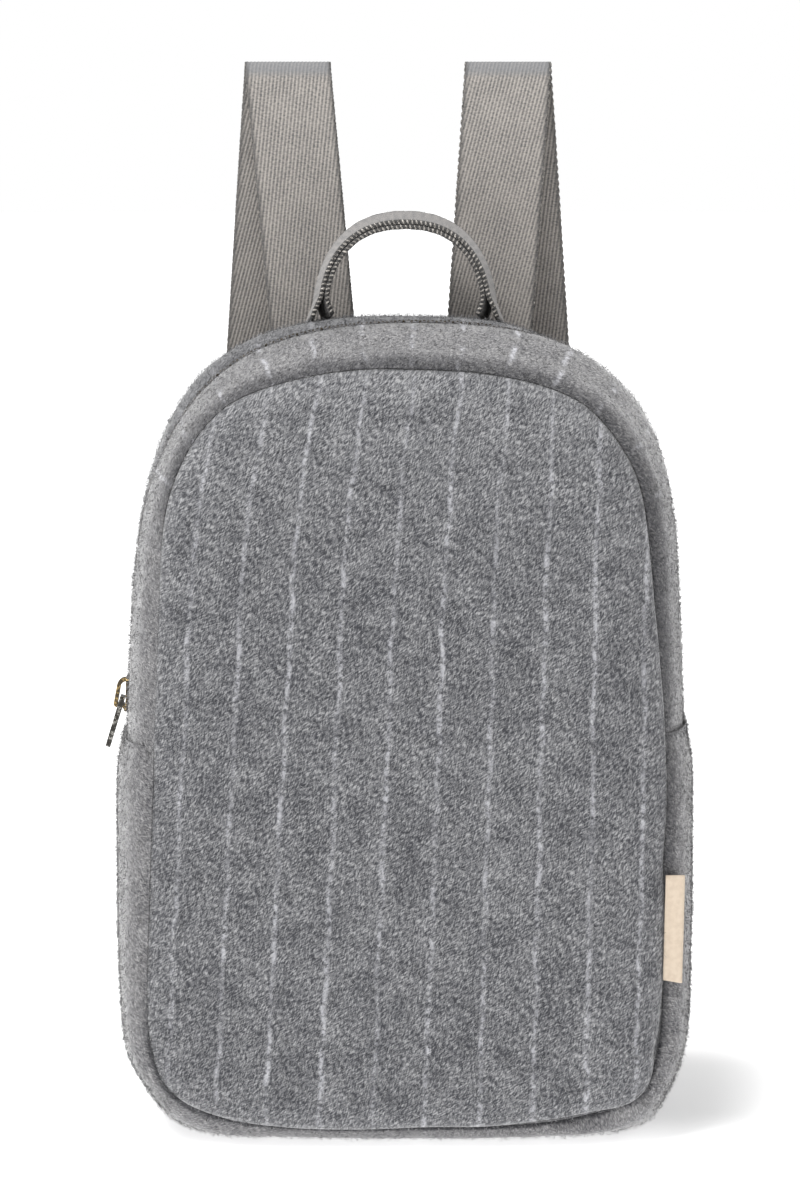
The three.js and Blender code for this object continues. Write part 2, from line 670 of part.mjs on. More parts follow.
// A shoulder strap: up from the back panel, over its fold, and down to the lower corner.
function shoulderStrap({ side, sewnX, foldX, footX }) {
  const face = BACK_SEAM_DEPTH + BACK_CROWN;
  const { top, radius } = STRAP_FOLD;
  const foldBehind = STRAP_RISE.at(-1).behind + 2.6 + radius;
  const foldAt = (angle) => ({
    height: top - WEBBING_WALL / 2 - radius + radius * Math.sin(angle),
    behind: foldBehind - radius * Math.cos(angle),
  });
  const fold = [0, 0.25, 0.5, 0.75, 1].map((share) => foldAt(Math.PI * share));
  const route = [...STRAP_RISE, ...fold, ...STRAP_FALL];
  const foldRow = STRAP_RISE.length + 2;
  const lowest = STRAP_FALL.at(-1).height;
  const sideways = (row, i) =>
    i <= foldRow
      ? lerp(sewnX, foldX, Math.max(row.height - STRAP_RISE[1].height, 0) / (top - STRAP_RISE[1].height))
      : lerp(footX, foldX, (row.height - lowest) / (top - lowest));
  const placeOf = (row, i) => new THREE.Vector3(side * sideways(row, i), face + row.behind, row.height);
  const rows = route.map(placeOf);
  const curve = new THREE.CatmullRomCurve3(rows, false, "centripetal");
  const count = (rows.length - 1) * STRAP_STEPS;
  const sections = Array.from({ length: count + 1 }, (_, i) => {
    const place = curve.getPoint(i / count);
    const run = curve.getTangent(i / count);
    const outwards = new THREE.Vector3(0, run.z, -run.y).setLength(WEBBING_WALL / 2);
    const rowAt = (sign) =>
      [-1, 1].map((end) => {
        const toEdge = new THREE.Vector3((end * STRAP_WIDTH) / 2, 0, 0);
        return place.clone().addScaledVector(outwards, sign).add(toEdge);
      });
    return { outer: rowAt(1), inner: rowAt(-1) };
  });
  return wallGeometry(sections);
}

// The height of the back zip band's top at a place seen from above.
function bandTop(x, depth) {
  const shares = stationShares(0.3, 0.7);
  const places = shares.map((share) => {
    const angle = gussetAngle(share, depth);
    const { lift } = gussetSection(share, [angle])[0];
    return gussetPoint(share, depth, lift, 0);
  });
  const i = places.findIndex((p, k) => k > 0 && p.x <= x);
  const before = places[i - 1];
  return lerp(before.z, places[i].z, (x - before.x) / (places[i].x - before.x));
}

// The carrying handle: an arch of doubled webbing whose feet spread on the back zip band.
function carryingHandle() {
  const edgeAt = (edge, angle, outwards) => {
    const rise = rounded(Math.sin(angle), HANDLE.power);
    const x = edge.half * rounded(Math.cos(angle), HANDLE.power);
    const base = bandTop(x, edge.depth);
    const height = lerp(base, edge.top, rise) - base;
    const wall = lerp(HANDLE.footWall, HANDLE.wall, ease(height, 0, HANDLE.footRise));
    const away = new THREE.Vector2(Math.cos(angle), rise).normalize().multiplyScalar((outwards * wall) / 2);
    const place = new THREE.Vector3(x + away.x, edge.depth, lerp(base, edge.top, rise) + away.y);
    place.z = Math.max(place.z, bandTop(place.x, edge.depth) + HANDLE.footGap);
    return place;
  };
  const { front, back } = HANDLE;
  const middle = {
    depth: (front.depth + back.depth) / 2,
    half: (front.half + back.half) / 2,
    top: (front.top + back.top) / 2,
  };
  const sections = Array.from({ length: HANDLE.steps + 1 }, (_, i) => {
    const angle = Math.PI * (i / HANDLE.steps);
    const rowAt = (outwards) => [front, middle, back].map((edge) => edgeAt(edge, angle, outwards));
    return { outer: rowAt(1), inner: rowAt(-1) };
  });
  return wallGeometry(sections);
}

// The label tab: a short stiff strip that stands out of the front seam.
function labelTab() {
  const from = shareAtHeight(LABEL.low);
  const to = shareAtHeight(LABEL.high);
  const steps = 4;
  const sections = Array.from({ length: steps + 1 }, (_, i) => {
    const share = lerp(from, to, i / steps);
    const { point, normal } = seamAt(frontCurve, share);
    const across = [0, 0.5, 1];
    const rowAt = (ahead) =>
      across.map((part) => {
        const place = point.clone().addScaledVector(normal, LABEL.out + part * LABEL.width);
        place.y = frontDepth(place.z) - ahead - LABEL.lean * part;
        return place;
      });
    return { outer: rowAt(LABEL.ahead + LABEL.wall / 2), inner: rowAt(LABEL.ahead - LABEL.wall / 2) };
  });
  return wallGeometry(sections);
}

// Materials
const cloth = (colour) => new THREE.MeshStandardMaterial({ color: colour, roughness: 0.95, metalness: 0 });
const wool = cloth(COLOURS.wool);
const webbing = cloth(COLOURS.webbing);
const tape = cloth(COLOURS.tape);
const cotton = cloth(COLOURS.label);
const metal = new THREE.MeshStandardMaterial({ color: COLOURS.metal, roughness: 0.35, metalness: 0.9 });

function piece(name, geometry, material) {
  const mesh = new THREE.Mesh(geometry, material);
  mesh.name = name;
  return mesh;
}

const backpack = new THREE.Group();
backpack.add(
  piece("front_panel", frontPanel(), wool),
  piece("back_panel", backPanel(), wool),
  piece("zip_band_front", zipBand(-1), wool),
  piece("zip_band_back", zipBand(1), wool),
  piece("gusset_base", gussetBase(), wool),
  piece("pocket_left", pocket(-1), wool),
  piece("pocket_right", pocket(1), wool),
  piece("handle", carryingHandle(), webbing),
  ...STRAPS.map((strap) => piece(strap.name, shoulderStrap(strap), webbing)),
  piece("label_tab", labelTab(), cotton),
);

// The slider and its pull keep their own frame, on the chain that the slider's post passes through.
const zipFitting = new THREE.Group();
zipFitting.applyMatrix4(sliderFrame());
const pull = piece("zip_pull", zipPull(), metal);
pull.position.set(sliderFace + PULL_PIVOT.out, 0, PULL_PIVOT.along);
pull.rotation.y = THREE.MathUtils.degToRad(-PULL.lean);
zipFitting.add(piece("zip_slider", zipSlider(), metal), pull);
backpack.add(zipFitting);

const postHole = sliderPost(SEWN_GAP, -ZIP.tapeWall, plateFrom).applyMatrix4(sliderFrame());
const teethEnd = block(
  new THREE.Vector3(ZIP.tapeWall / 2, -ZIP.tapeHalf, -20),
  new THREE.Vector3(plateFrom + 1, ZIP.tapeHalf, SLIDER_POST.low + SLIDER_POST.length + SEWN_GAP),
).applyMatrix4(sliderFrame());
const chain = toSolid(zipChain()).subtract(toSolid(postHole)).subtract(toSolid(teethEnd));
backpack.add(piece("zip_chain", fromSolid(chain), tape));

export default backpack;
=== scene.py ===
# Mini backpack in brushed chalk-stripe wool: the looks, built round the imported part.
import math

import bmesh
import bpy
import numpy as np
from mathutils import Matrix, Vector, noise
from mathutils.bvhtree import BVHTree


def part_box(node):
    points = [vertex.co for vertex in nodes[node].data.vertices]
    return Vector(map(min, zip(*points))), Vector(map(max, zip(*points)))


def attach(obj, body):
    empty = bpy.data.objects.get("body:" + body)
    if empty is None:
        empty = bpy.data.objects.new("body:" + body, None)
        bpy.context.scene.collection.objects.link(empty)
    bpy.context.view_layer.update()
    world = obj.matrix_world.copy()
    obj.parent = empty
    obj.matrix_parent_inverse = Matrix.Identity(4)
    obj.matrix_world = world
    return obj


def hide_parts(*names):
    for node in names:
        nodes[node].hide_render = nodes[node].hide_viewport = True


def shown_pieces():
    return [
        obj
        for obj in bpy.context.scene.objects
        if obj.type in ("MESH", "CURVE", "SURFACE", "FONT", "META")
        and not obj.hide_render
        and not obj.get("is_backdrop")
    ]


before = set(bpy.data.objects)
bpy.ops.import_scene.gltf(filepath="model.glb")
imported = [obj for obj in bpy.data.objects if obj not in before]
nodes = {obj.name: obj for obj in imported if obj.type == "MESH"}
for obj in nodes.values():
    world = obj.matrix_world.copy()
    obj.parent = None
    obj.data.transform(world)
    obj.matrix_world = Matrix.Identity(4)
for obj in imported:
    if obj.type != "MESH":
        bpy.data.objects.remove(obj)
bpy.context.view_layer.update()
scene = bpy.context.scene

# Camera, at the height and distance that the bag was pictured from
photoView = {"distance": 1.3, "elevation": 9.0, "aimX": -0.0018, "aimZ": 0.195, "lens": 106.3}


def makeCamera(look):
    tilt = math.radians(look["elevation"])
    data = bpy.data.cameras.new("photo_camera")
    data.lens = look["lens"]
    data.sensor_width = 36  # along the long side of the frame
    camera = bpy.data.objects.new("photo_camera", data)
    reach = look["distance"]
    camera.location = (look["aimX"], -reach * math.cos(tilt), look["aimZ"] + reach * math.sin(tilt))
    camera.rotation_euler = (math.pi / 2 - tilt, 0, 0)
    scene.collection.objects.link(camera)
    scene.camera = camera


# Small helpers for node trees
def addNode(tree, kind, inputs=None, **settings):
    made = tree.nodes.new(kind)
    for key, value in settings.items():
        setattr(made, key, value)
    for key, value in (inputs or {}).items():
        if isinstance(value, bpy.types.NodeSocket):
            tree.links.new(value, made.inputs[key])
        else:
            made.inputs[key].default_value = value
    return made


def calc(tree, operation, first, second=0.0, third=0.0):
    return addNode(tree, "ShaderNodeMath", {0: first, 1: second, 2: third}, operation=operation).outputs[0]


def remap(tree, value, fromMin, fromMax, toMin, toMax):
    inputs = {"Value": value, "From Min": fromMin, "From Max": fromMax, "To Min": toMin, "To Max": toMax}
    return addNode(tree, "ShaderNodeMapRange", inputs, interpolation_type="SMOOTHSTEP").outputs[0]


def blendColours(tree, share, first, second):
    made = addNode(tree, "ShaderNodeMix", {0: share, 6: first, 7: second}, data_type="RGBA")
    return made.outputs[2]


def rampColours(tree, value, stops):
    ramp = addNode(tree, "ShaderNodeValToRGB", {0: value})
    marks = ramp.color_ramp.elements
    while len(marks) < len(stops):
        marks.new(0.5)
    for mark, (place, colour) in zip(marks, stops):
        mark.position = place
        mark.color = (*colour, 1)
    return ramp.outputs[0]


def grain(tree, place, scale, detail=2.0, roughness=0.5, stretch=(1, 1, 1), turn=(0, 0, 0)):
    if stretch != (1, 1, 1):
        inputs = {0: place, "Rotation": turn, "Scale": stretch}
        place = addNode(tree, "ShaderNodeMapping", inputs, vector_type="TEXTURE").outputs[0]
    inputs = {"Vector": place, "Scale": scale, "Detail": detail, "Roughness": roughness}
    return addNode(tree, "ShaderNodeTexNoise", inputs).outputs[0]


def readAttribute(tree, name):
    return addNode(tree, "ShaderNodeAttribute", attribute_name=name).outputs["Fac"]


def objectPlace(tree):
    return addNode(tree, "ShaderNodeTexCoord").outputs["Object"]


def newMaterial(name, **sockets):
    material = bpy.data.materials.new(name)
    material.use_nodes = True
    tree = material.node_tree
    shader = tree.nodes["Principled BSDF"]
    for key, value in sockets.items():
        shader.inputs[key.replace("_", " ")].default_value = value
    return material, tree, shader


def vectorCalc(tree, operation, first, second=(0, 0, 0)):
    return addNode(tree, "ShaderNodeVectorMath", {0: first, 1: second}, operation=operation)


def addBump(tree, shader, height, strength, distance):
    bump = addNode(tree, "ShaderNodeBump", {"Height": height, "Strength": strength, "Distance": distance})
    tree.links.new(bump.outputs[0], shader.inputs["Normal"])


# Studio: a bright floor, an even sky, one large soft light from the upper left and a faint one from the right
studio = {
    "floorRadius": 7.0, "floorColour": (0.9, 0.9, 0.9, 1), "glowNear": 0.3, "glowFar": 0.95, "glowReach": 0.072,
    "glowLit": 0.9, "footMiddle": (0.029, 0.03, 0), "footHalf": (0.085, 0.026, 1), "sky": 0.4,
    "keyPlace": (-0.7, -0.6, 2.25), "keySize": 1.2, "keyPower": 58,
    "fillPlace": (1.0, 0.3, 0.5), "fillSize": 0.8, "fillPower": 2.0, "aim": (0, 0, 0.17),
}


def makeStudio(look):
    bm = bmesh.new()
    bmesh.ops.create_circle(bm, cap_ends=True, segments=96, radius=look["floorRadius"])
    floor = addMesh("studio_floor", bm)
    material, tree, shader = newMaterial("studio_paper", Roughness=1.0)
    shader.inputs["Base Color"].default_value = look["floorColour"]
    shader.inputs["Emission Color"].default_value = (1, 1, 1, 1)
    place = objectPlace(tree)
    # painted shadow: the paper glows less under the bag and to the right of it, where the shadow falls
    place = vectorCalc(tree, "SUBTRACT", place, look["footMiddle"]).outputs[0]
    place = vectorCalc(tree, "ABSOLUTE", place).outputs[0]
    place = vectorCalc(tree, "SUBTRACT", place, look["footHalf"]).outputs[0]
    place = vectorCalc(tree, "MAXIMUM", place).outputs[0]
    away = vectorCalc(tree, "LENGTH", place).outputs["Value"]
    glow = remap(tree, away, 0.0, look["glowReach"], look["glowNear"], look["glowFar"])
    cameraRay = addNode(tree, "ShaderNodeLightPath").outputs["Is Camera Ray"]
    glow = calc(tree, "MULTIPLY_ADD", cameraRay, calc(tree, "SUBTRACT", glow, look["glowLit"]), look["glowLit"])
    tree.links.new(glow, shader.inputs["Emission Strength"])
    floor.data.materials.append(material)
    floor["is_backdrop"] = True

    world = bpy.data.worlds.new("studio_sky")
    world.use_nodes = True
    tree = world.node_tree
    tree.nodes.clear()
    lit = addNode(tree, "ShaderNodeBackground", {"Color": (1, 1, 1, 1), "Strength": look["sky"]})
    seen = addNode(tree, "ShaderNodeBackground", {"Color": (1, 1, 1, 1), "Strength": 1.0})
    cameraRay = addNode(tree, "ShaderNodeLightPath").outputs["Is Camera Ray"]
    mix = addNode(tree, "ShaderNodeMixShader", {0: cameraRay, 1: lit.outputs[0], 2: seen.outputs[0]})
    addNode(tree, "ShaderNodeOutputWorld", {"Surface": mix.outputs[0]})
    scene.world = world

    for name in ("key", "fill"):
        light = bpy.data.lights.new(name + "_light", "AREA")
        light.size = look[name + "Size"]
        light.energy = look[name + "Power"]
        lamp = bpy.data.objects.new(name + "_light", light)
        lamp.location = look[name + "Place"]
        lamp.rotation_euler = (Vector(look["aim"]) - lamp.location).to_track_quat("-Z", "Y").to_euler()
        scene.collection.objects.link(lamp)
    scene.view_settings.view_transform = "Standard"


# Mesh helpers
def addMesh(name, bm, smooth=True):
    mesh = bpy.data.meshes.new(name)
    bm.to_mesh(mesh)
    bm.free()
    return addObject(name, mesh, smooth)


def addObject(name, mesh, smooth=True):
    made = bpy.data.objects.new(name, mesh)
    scene.collection.objects.link(made)
    mesh.polygons.foreach_set("use_smooth", [smooth] * len(mesh.polygons))
    return made


def dress(piece, material, body="bag", stands=()):
    piece.data.materials.clear()
    piece.data.materials.append(material)
    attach(piece, body)
    if stands:
        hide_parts(*stands)


def bakeModifiers(piece):
    seen = piece.evaluated_get(bpy.context.evaluated_depsgraph_get())
    mesh = bpy.data.meshes.new_from_object(seen)
    piece.modifiers.clear()
    piece.data = mesh
    mesh.name = piece.name


def addWall(piece, name, thickness):
    wall = piece.modifiers.new(name, "SOLIDIFY")
    wall.thickness = thickness
    wall.offset = 0
    bakeModifiers(piece)


def nodeCopy(nodeName):
    bm = bmesh.new()
    bm.from_mesh(nodes[nodeName].data)
    bmesh.ops.remove_doubles(bm, verts=bm.verts, dist=1e-5)
    return bm


def nodeSurface(nodeName):
    bm = nodeCopy(nodeName)
    surface = BVHTree.FromBMesh(bm)
    bm.free()
    return surface


def readPoints(mesh):
    points = np.empty(len(mesh.vertices) * 3)
    mesh.vertices.foreach_get("co", points)
    return points.reshape(-1, 3)


def readNormals(mesh):
    normals = np.empty(len(mesh.vertices) * 3)
    mesh.vertex_normals.foreach_get("vector", normals)
    return normals.reshape(-1, 3)


def writeFloats(mesh, name, values):
    mesh.attributes.new(name, "FLOAT", "POINT").data.foreach_set("value", values)


def unit(vectors):
    return vectors / np.maximum(np.linalg.norm(vectors, axis=1, keepdims=True), 1e-9)


def runsAlong(line):
    return np.concatenate(([0], np.cumsum(np.linalg.norm(np.diff(line, axis=0), axis=1))))


# The rows of a line, or of directions along it, read off at the given runs
def readAt(rows, runs, at):
    return np.stack([np.interp(at, runs, rows[:, i]) for i in range(3)], axis=-1)


# One small closed shape set down many times, joined into one mesh
def scatter(name, bm, places):
    bm.verts.ensure_lookup_table()
    shape = np.array([v.co for v in bm.verts])
    faces = np.array([[v.index for v in f.verts] for f in bm.faces])
    bm.free()
    turns = np.array([[row[:3] for row in place[:3]] for place in places])
    moves = np.array([place.translation for place in places])
    points = np.einsum("kij,vj->kvi", turns, shape) + moves[:, None, :]
    starts = np.arange(len(places)) * len(shape)
    corners = faces[None] + starts[:, None, None]
    mesh = bpy.data.meshes.new(name)
    mesh.from_pydata(points.reshape(-1, 3), [], corners.reshape(-1, faces.shape[1]))
    return addObject(name, mesh)


# A small drawn-out bead, for a loop or a stitch of yarn
def makeBead(size):
    bm = bmesh.new()
    bmesh.ops.create_icosphere(bm, subdivisions=1, radius=1)
    bmesh.ops.scale(bm, vec=size, verts=bm.verts)
    return bm


def frameAt(place, along, out):
    along = Vector(along).normalized()
    side = Vector(out).cross(along).normalized()
    out = along.cross(side)
    turned = Matrix((along, side, out)).transposed().to_4x4()
    turned.translation = Vector(place)
    return turned


# Wool: grey melange with broken chalk stripes, brushed to a nap
woolLook = {
    "dark": (0.046, 0.047, 0.054), "mid": (0.166, 0.167, 0.175), "pale": (0.375, 0.375, 0.38),
    "chalk": (0.60, 0.60, 0.635, 1), "stripePitch": 0.018, "stripeHalf": 0.001, "stripeWobble": 0.0005,
    "patches": 0.14, "mottle": 0.21, "ownTone": 0.32, "toneSpread": 0.13, "paintedTopLight": 0.022, "paintedTopLightFrom": (0.2, 0.29),
    # the last colour is the painted shade laid into the seams and creases
    "paintedSeamShade": (0.045, 0.045, 0.05, 1),
}
woolFace = {"sheen": 0.6, "base": -0.057, "hair": 0.36}  # the cloth itself
woolStrand = {"sheen": 0.15, "base": 0.075, "hair": 0.1}  # the strands of its nap


def woolMaterial(name, look, nap, tint, contrast, stripe):
    kind = woolStrand if nap else woolFace
    material, tree, shader = newMaterial(name, Roughness=0.95, Specular_IOR_Level=0.12, Sheen_Roughness=0.45)
    shader.inputs["Sheen Weight"].default_value = kind["sheen"]
    place = objectPlace(tree)
    run = readAttribute(tree, "stripe")
    across = readAttribute(tree, "across")
    cloth = addNode(tree, "ShaderNodeCombineXYZ", {0: run, 1: across}).outputs[0]

    # hairs brushed along the cloth, over mottled yarn
    patches = grain(tree, place, 110, 3, 0.6)
    mottle = grain(tree, cloth, 1000, 3, 0.6, stretch=(1, 2, 1), turn=(0, 0, -0.7))
    tone = calc(tree, "MULTIPLY_ADD", patches, look["patches"], kind["base"])
    tone = calc(tree, "MULTIPLY_ADD", mottle, look["mottle"], tone)
    height = addNode(tree, "ShaderNodeSeparateXYZ", {0: place}).outputs[2]
    # painted light: the wool is made paler towards the top of the bag
    topLightTone = remap(tree, height, *look["paintedTopLightFrom"], 0.0, look["paintedTopLight"])  # towards the top
    tone = calc(tree, "ADD", tone, topLightTone)
    hairs = [grain(tree, cloth, 2100, 2, 0.5, stretch=(1, 4, 1), turn=(0, 0, lean)) for lean in (-1.0, -0.25)]
    for hair in hairs:
        tone = calc(tree, "MULTIPLY_ADD", hair, kind["hair"], tone)
    if nap:
        own = readAttribute(tree, "tone")
        tone = calc(tree, "MULTIPLY_ADD", own, look["ownTone"], tone)
    spread = look["toneSpread"] / contrast
    stops = [(0.5 - spread, look["dark"]), (0.5, look["mid"]), (0.5 + spread, look["pale"])]
    colour = rampColours(tree, tone, [(at, [c * t for c, t in zip(rgb, tint)]) for at, rgb in stops])

    # chalk stripes, in soft clumps that come and go
    wobble = remap(tree, grain(tree, place, 60, 1), 0.3, 0.7, -look["stripeWobble"], look["stripeWobble"])
    turn = calc(tree, "DIVIDE", calc(tree, "ADD", run, wobble), look["stripePitch"])
    away = calc(tree, "MULTIPLY", calc(tree, "PINGPONG", turn, 0.5), look["stripePitch"])
    line = remap(tree, away, look["stripeHalf"] * 0.2, look["stripeHalf"] * 1.4, 1.0, 0.0)
    clumps = remap(tree, grain(tree, place, 480, 3, 0.7), 0.4, 0.6, stripe["thin"], 1.0)
    fading = remap(tree, grain(tree, place, stripe["breaks"], 2, 0.6), 0.4, 0.6, stripe["faint"], 1.0)
    line = calc(tree, "MULTIPLY", line, calc(tree, "MULTIPLY", clumps, fading))
    drawn = readAttribute(tree, "chalk")
    line = calc(tree, "MULTIPLY", line, calc(tree, "MULTIPLY", drawn, stripe["strength"]))
    colour = blendColours(tree, line, colour, look["chalk"])

    # painted shade: the colour darkens where the fold attribute marks shade, down in the seams and creases
    fold = readAttribute(tree, "fold")
    flat = calc(tree, "MULTIPLY", fold, remap(tree, mottle, 0.3, 0.65, 0.95, 0.5))
    tree.links.new(blendColours(tree, flat, colour, look["paintedSeamShade"]), shader.inputs["Base Color"])
    if not nap:
        addBump(tree, shader, calc(tree, "ADD", mottle, hairs[0]), 0.15, 0.0006)
    return material


# painted light: the bands are the same wool as the front, tinted lighter in place of the stronger light on them
frontTint, paintedLightBandTint = (1.0, 1.0, 1.0), (1.31, 1.285, 1.255)
frontStripe = {"strength": 0.58, "thin": 0.03, "faint": 0.35, "breaks": 42}
bandStripe = {"strength": 0.95, "thin": 0.35, "faint": 0.0, "breaks": 115}
woolCloth = {
    "front": woolMaterial("wool_front", woolLook, False, frontTint, 1.5, frontStripe),
    "frontNap": woolMaterial("wool_front_nap", woolLook, True, frontTint, 1.4, frontStripe),
    "band": woolMaterial("wool_band", woolLook, False, paintedLightBandTint, 0.95, bandStripe),
    "bandNap": woolMaterial("wool_band_nap", woolLook, True, paintedLightBandTint, 0.95, bandStripe),
}

# Where the stripes lie: they lean to the right going up, more so at the left and near the top of the bag
stripeLay = {
    "start": -0.0046, "lean": 0.036, "bendFrom": 0.195, "bend": 0.7, "fan": 10.0, "fanRange": (0.3, 1.5),
    "archZ": 0.2, "archRadius": 0.095, "archStart": 0.0028, "archFrom": (0.22, 0.255),
    "floorZ": 0.02, "floorHalf": 0.09,
}
# The line that the bands run round, the middle of their depth, and the front seam from the floor to its top
bagShape = {
    "core": (0.06, 0.2), "middleZ": 0.15, "midDepth": 0.001, "bandHalf": 0.022,
    "seamDepth": -0.038, "seamLean": 0.005, "seamTop": 0.286,
}
leftZone = {"across": (0.045, 0.08), "below": (0.21, 0.25), "calm": 0.5, "calmer": 0.45, "calmerFrom": (0.02, 0.06)}


def smoothRise(value, low, high):
    share = np.clip((value - low) / (high - low), 0, 1)
    return share * share * (3 - 2 * share)


def radialAt(points):
    core = np.clip(points[:, 2], *bagShape["core"])
    return np.stack((points[:, 0], np.zeros(len(points)), points[:, 2] - core), axis=1)


def outwardAt(points, facing):
    if facing == "round":
        back = (points - (0, bagShape["midDepth"], 0)) * (0, 1, 0)
        return unit(unit(radialAt(points)) * bagShape["bandHalf"] + back)
    return np.tile((0, -1.0 if facing == "front" else 1.0, 0), (len(points), 1))


def stripeRun(points, facing, lay):
    x, z = points[:, 0], points[:, 2]
    if facing != "round":
        above = z - lay["bendFrom"]
        leaning = lay["lean"] * above + lay["bend"] * np.maximum(above, 0) ** 2
        return x - lay["start"] - leaning * np.clip(1 - lay["fan"] * x, *lay["fanRange"])
    over = lay["archRadius"] * np.arctan2(x, np.maximum(z - lay["archZ"], 0))
    down = np.sign(x) * np.maximum(lay["archZ"] - z, 0)
    under = np.where(z < lay["floorZ"], np.sign(x) * np.maximum(lay["floorHalf"] - np.abs(x), 0), 0)
    return over + down + under - lay["archStart"]


# On the bands the chalk shows only round the arch
def chalkAt(points, facing):
    return smoothRise(points[:, 2], *stripeLay["archFrom"]) if facing == "round" else np.ones(len(points))


def clothAcross(points, facing):
    if facing != "round":
        return points[:, 2]
    return np.linalg.norm(radialAt(points), axis=1) + points[:, 1]


# What the cloth's pattern reads at each point
def clothPlaces(points, facing):
    return {
        "stripe": stripeRun(points, facing, stripeLay), "across": clothAcross(points, facing),
        "chalk": chalkAt(points, facing),
    }


def seamDepth(z):
    return bagShape["seamDepth"] + bagShape["seamLean"] * z / bagShape["seamTop"]


# Down the left side the seam is held flat, and the painted shade in its groove is fainter
def leftSide(points):
    return smoothRise(-points[:, 0], *leftZone["across"]) * (1 - smoothRise(points[:, 2], *leftZone["below"]))


def seamShade(points):
    calmer = leftZone["calmer"] * smoothRise(points[:, 2], *leftZone["calmerFrom"])
    return 1 - leftSide(points) * (leftZone["calm"] + calmer)


def awayFrom(nodeName, points, limit):
    surface = dressed[nodeName]
    found = (surface.find_nearest(Vector(p), limit)[3] for p in points)
    return np.array([limit if away is None else away for away in found])


# An amount read off a short table of places and amounts
def fromTable(table, at):
    return np.interp(at, *zip(*table))


def bySide(tables, points):
    x, z = points[:, 0], points[:, 2]
    return np.where(x < 0, fromTable(tables["left"], z), fromTable(tables["right"], z))


# The band rolls forward beside the front seam, which lies in the valley between the roll and the padded panel,
# and it stands fullest at the right shoulder
def rollBand(points, roll):
    high = smoothRise(points[:, 2], *roll["topFrom"])
    left = leftSide(points)
    amount = roll["side"] + (roll["top"] - roll["side"]) * high + (roll["left"] - roll["side"]) * left
    share = awayFrom("front_panel", points, roll["wide"]) / roll["wide"]
    turn = np.arctan2(points[:, 0], np.maximum(points[:, 2] - bagShape["core"][1], 0.001))
    shoulder = smoothRise(turn, *roll["crownFrom"]) * (1 - smoothRise(turn, *roll["crownTo"]))
    shoulder = shoulder * smoothRise(share, 0, 1)
    ridge = np.exp(-(((points[:, 1] - roll["crownDepth"]) / roll["crownHalf"]) ** 2))
    crown = roll["crown"] * shoulder * (roll["crownLeast"] + (1 - roll["crownLeast"]) * ridge)
    points += unit(radialAt(points)) * crown[:, None]
    points[:, 1] -= amount * np.sin(math.pi * share) + roll["flush"] * left * (1 - share) ** 1.5


# Over the top the front seam hangs lower and flatter than the arch, and the band slopes down to it from the zip
topDrop = {"depth": 0.0034, "from": (0.268, 0.287), "fade": (-0.034, -0.006)}


def dropSeam(points, drop):
    share = smoothRise(points[:, 2], *drop["from"]) * (1 - smoothRise(points[:, 1], *drop["fade"]))
    points[:, 2] -= drop["depth"] * share


# The lower corners sag outward onto the floor, between the front and the back seam
def sagCorners(points, sag):
    x = points[:, 0]
    toSeams = [awayFrom(panel, points, sag["seam"]) for panel in ("front_panel", "back_panel")]
    share = np.minimum(*toSeams) / sag["seam"]
    reach = bySide(sag, points) * smoothRise(np.abs(x), *sag["from"])
    points[:, 0] += np.sign(x) * reach * smoothRise(share, 0, 1)


# The front panel's padded rim swells out over its seam, and its line wanders at the right and along the base; it
# returns the painted shade along the rim, darkest where the panel sinks into the seam
def swellRim(points, normals, rim):
    x, z = points[:, 0], points[:, 2]
    proud = seamDepth(z) - points[:, 1]
    rise = smoothRise(proud, *rim["rises"]) * (1 - smoothRise(proud, *rim["ends"]))
    out = normals * (1, 0, 1)
    outer = np.sum(out * (points - (0, 0, bagShape["middleZ"])), axis=1) > 0
    waves = np.array([noise.noise(Vector(p) * rim["waveScale"]) for p in points])
    amount = rim["out"] + rim["wave"] * waves
    amount = amount + smoothRise(x, *rim["rightFrom"]) * fromTable(rim["right"], z) * out[:, 0] ** 2
    amount = amount + smoothRise(-z, *rim["lowFrom"]) * fromTable(rim["low"], x) * out[:, 2] ** 2
    points += out * (rise * amount * outer)[:, None]
    return (1 - smoothRise(proud, *rim["paintedSeamShade"])) * seamShade(points)


dressed = {}  # finished wool surfaces, for what is sewn against them
# The strip along the front seam that is given painted shade: its width by height, at each side
seamShadeWide = {
    "left": ((0.0, 0.0018), (0.04, 0.003), (0.2, 0.0045), (0.26, 0.009)),
    "right": (
        (0.0, 0.0018), (0.06, 0.003), (0.09, 0.0068), (0.15, 0.0068), (0.19, 0.0105), (0.24, 0.0105), (0.27, 0.009),
    ),
}
bandSeamShadeLook = {
    "reach": 0.011, "edge": (0.05, 0.8), "left": 0.17, "leftFrom": (0.14, 0.17),
    "crease": 1.5, "creaseWide": 0.0016, "creaseEdge": (0, 0.45), "creaseBelow": (0.035, 0.065),
}


# Painted shade on a band: how deep each point lies in the front seam, with a sharp painted crease along the base
# and faint painted shade over the upper left side
def bandSeamShade(points, look):
    z = points[:, 2]
    away = awayFrom("front_panel", points, look["reach"])
    paintedSeamShade = smoothRise(1 - away / bySide(seamShadeWide, points), *look["edge"]) * seamShade(points)
    leftBand = look["left"] * leftSide(points) * smoothRise(z, *look["leftFrom"])
    low = 1 - smoothRise(z, *look["creaseBelow"])
    crease = look["crease"] * low * smoothRise(1 - away / look["creaseWide"], *look["creaseEdge"])
    return np.maximum.reduce((paintedSeamShade, leftBand, crease))


# Draws a piece up against what it is sewn to
def drawUp(points, pull):
    surface, reach = dressed[pull["to"]], pull["reach"]
    zone = smoothRise(points[:, 2] * pull["upwards"], *pull["zone"]) if "zone" in pull else np.ones(len(points))
    for i in np.nonzero(zone > 0)[0]:
        near, _, _, away = surface.find_nearest(Vector(points[i]), reach)
        if near is None:
            continue
        hold = 1 - smoothRise(away, pull["near"], reach)
        give = max(away - pull["keep"], 0) / max(away, 1e-6)
        points[i] += (np.array(near) - points[i]) * give * pull["strength"] * hold * zone[i]


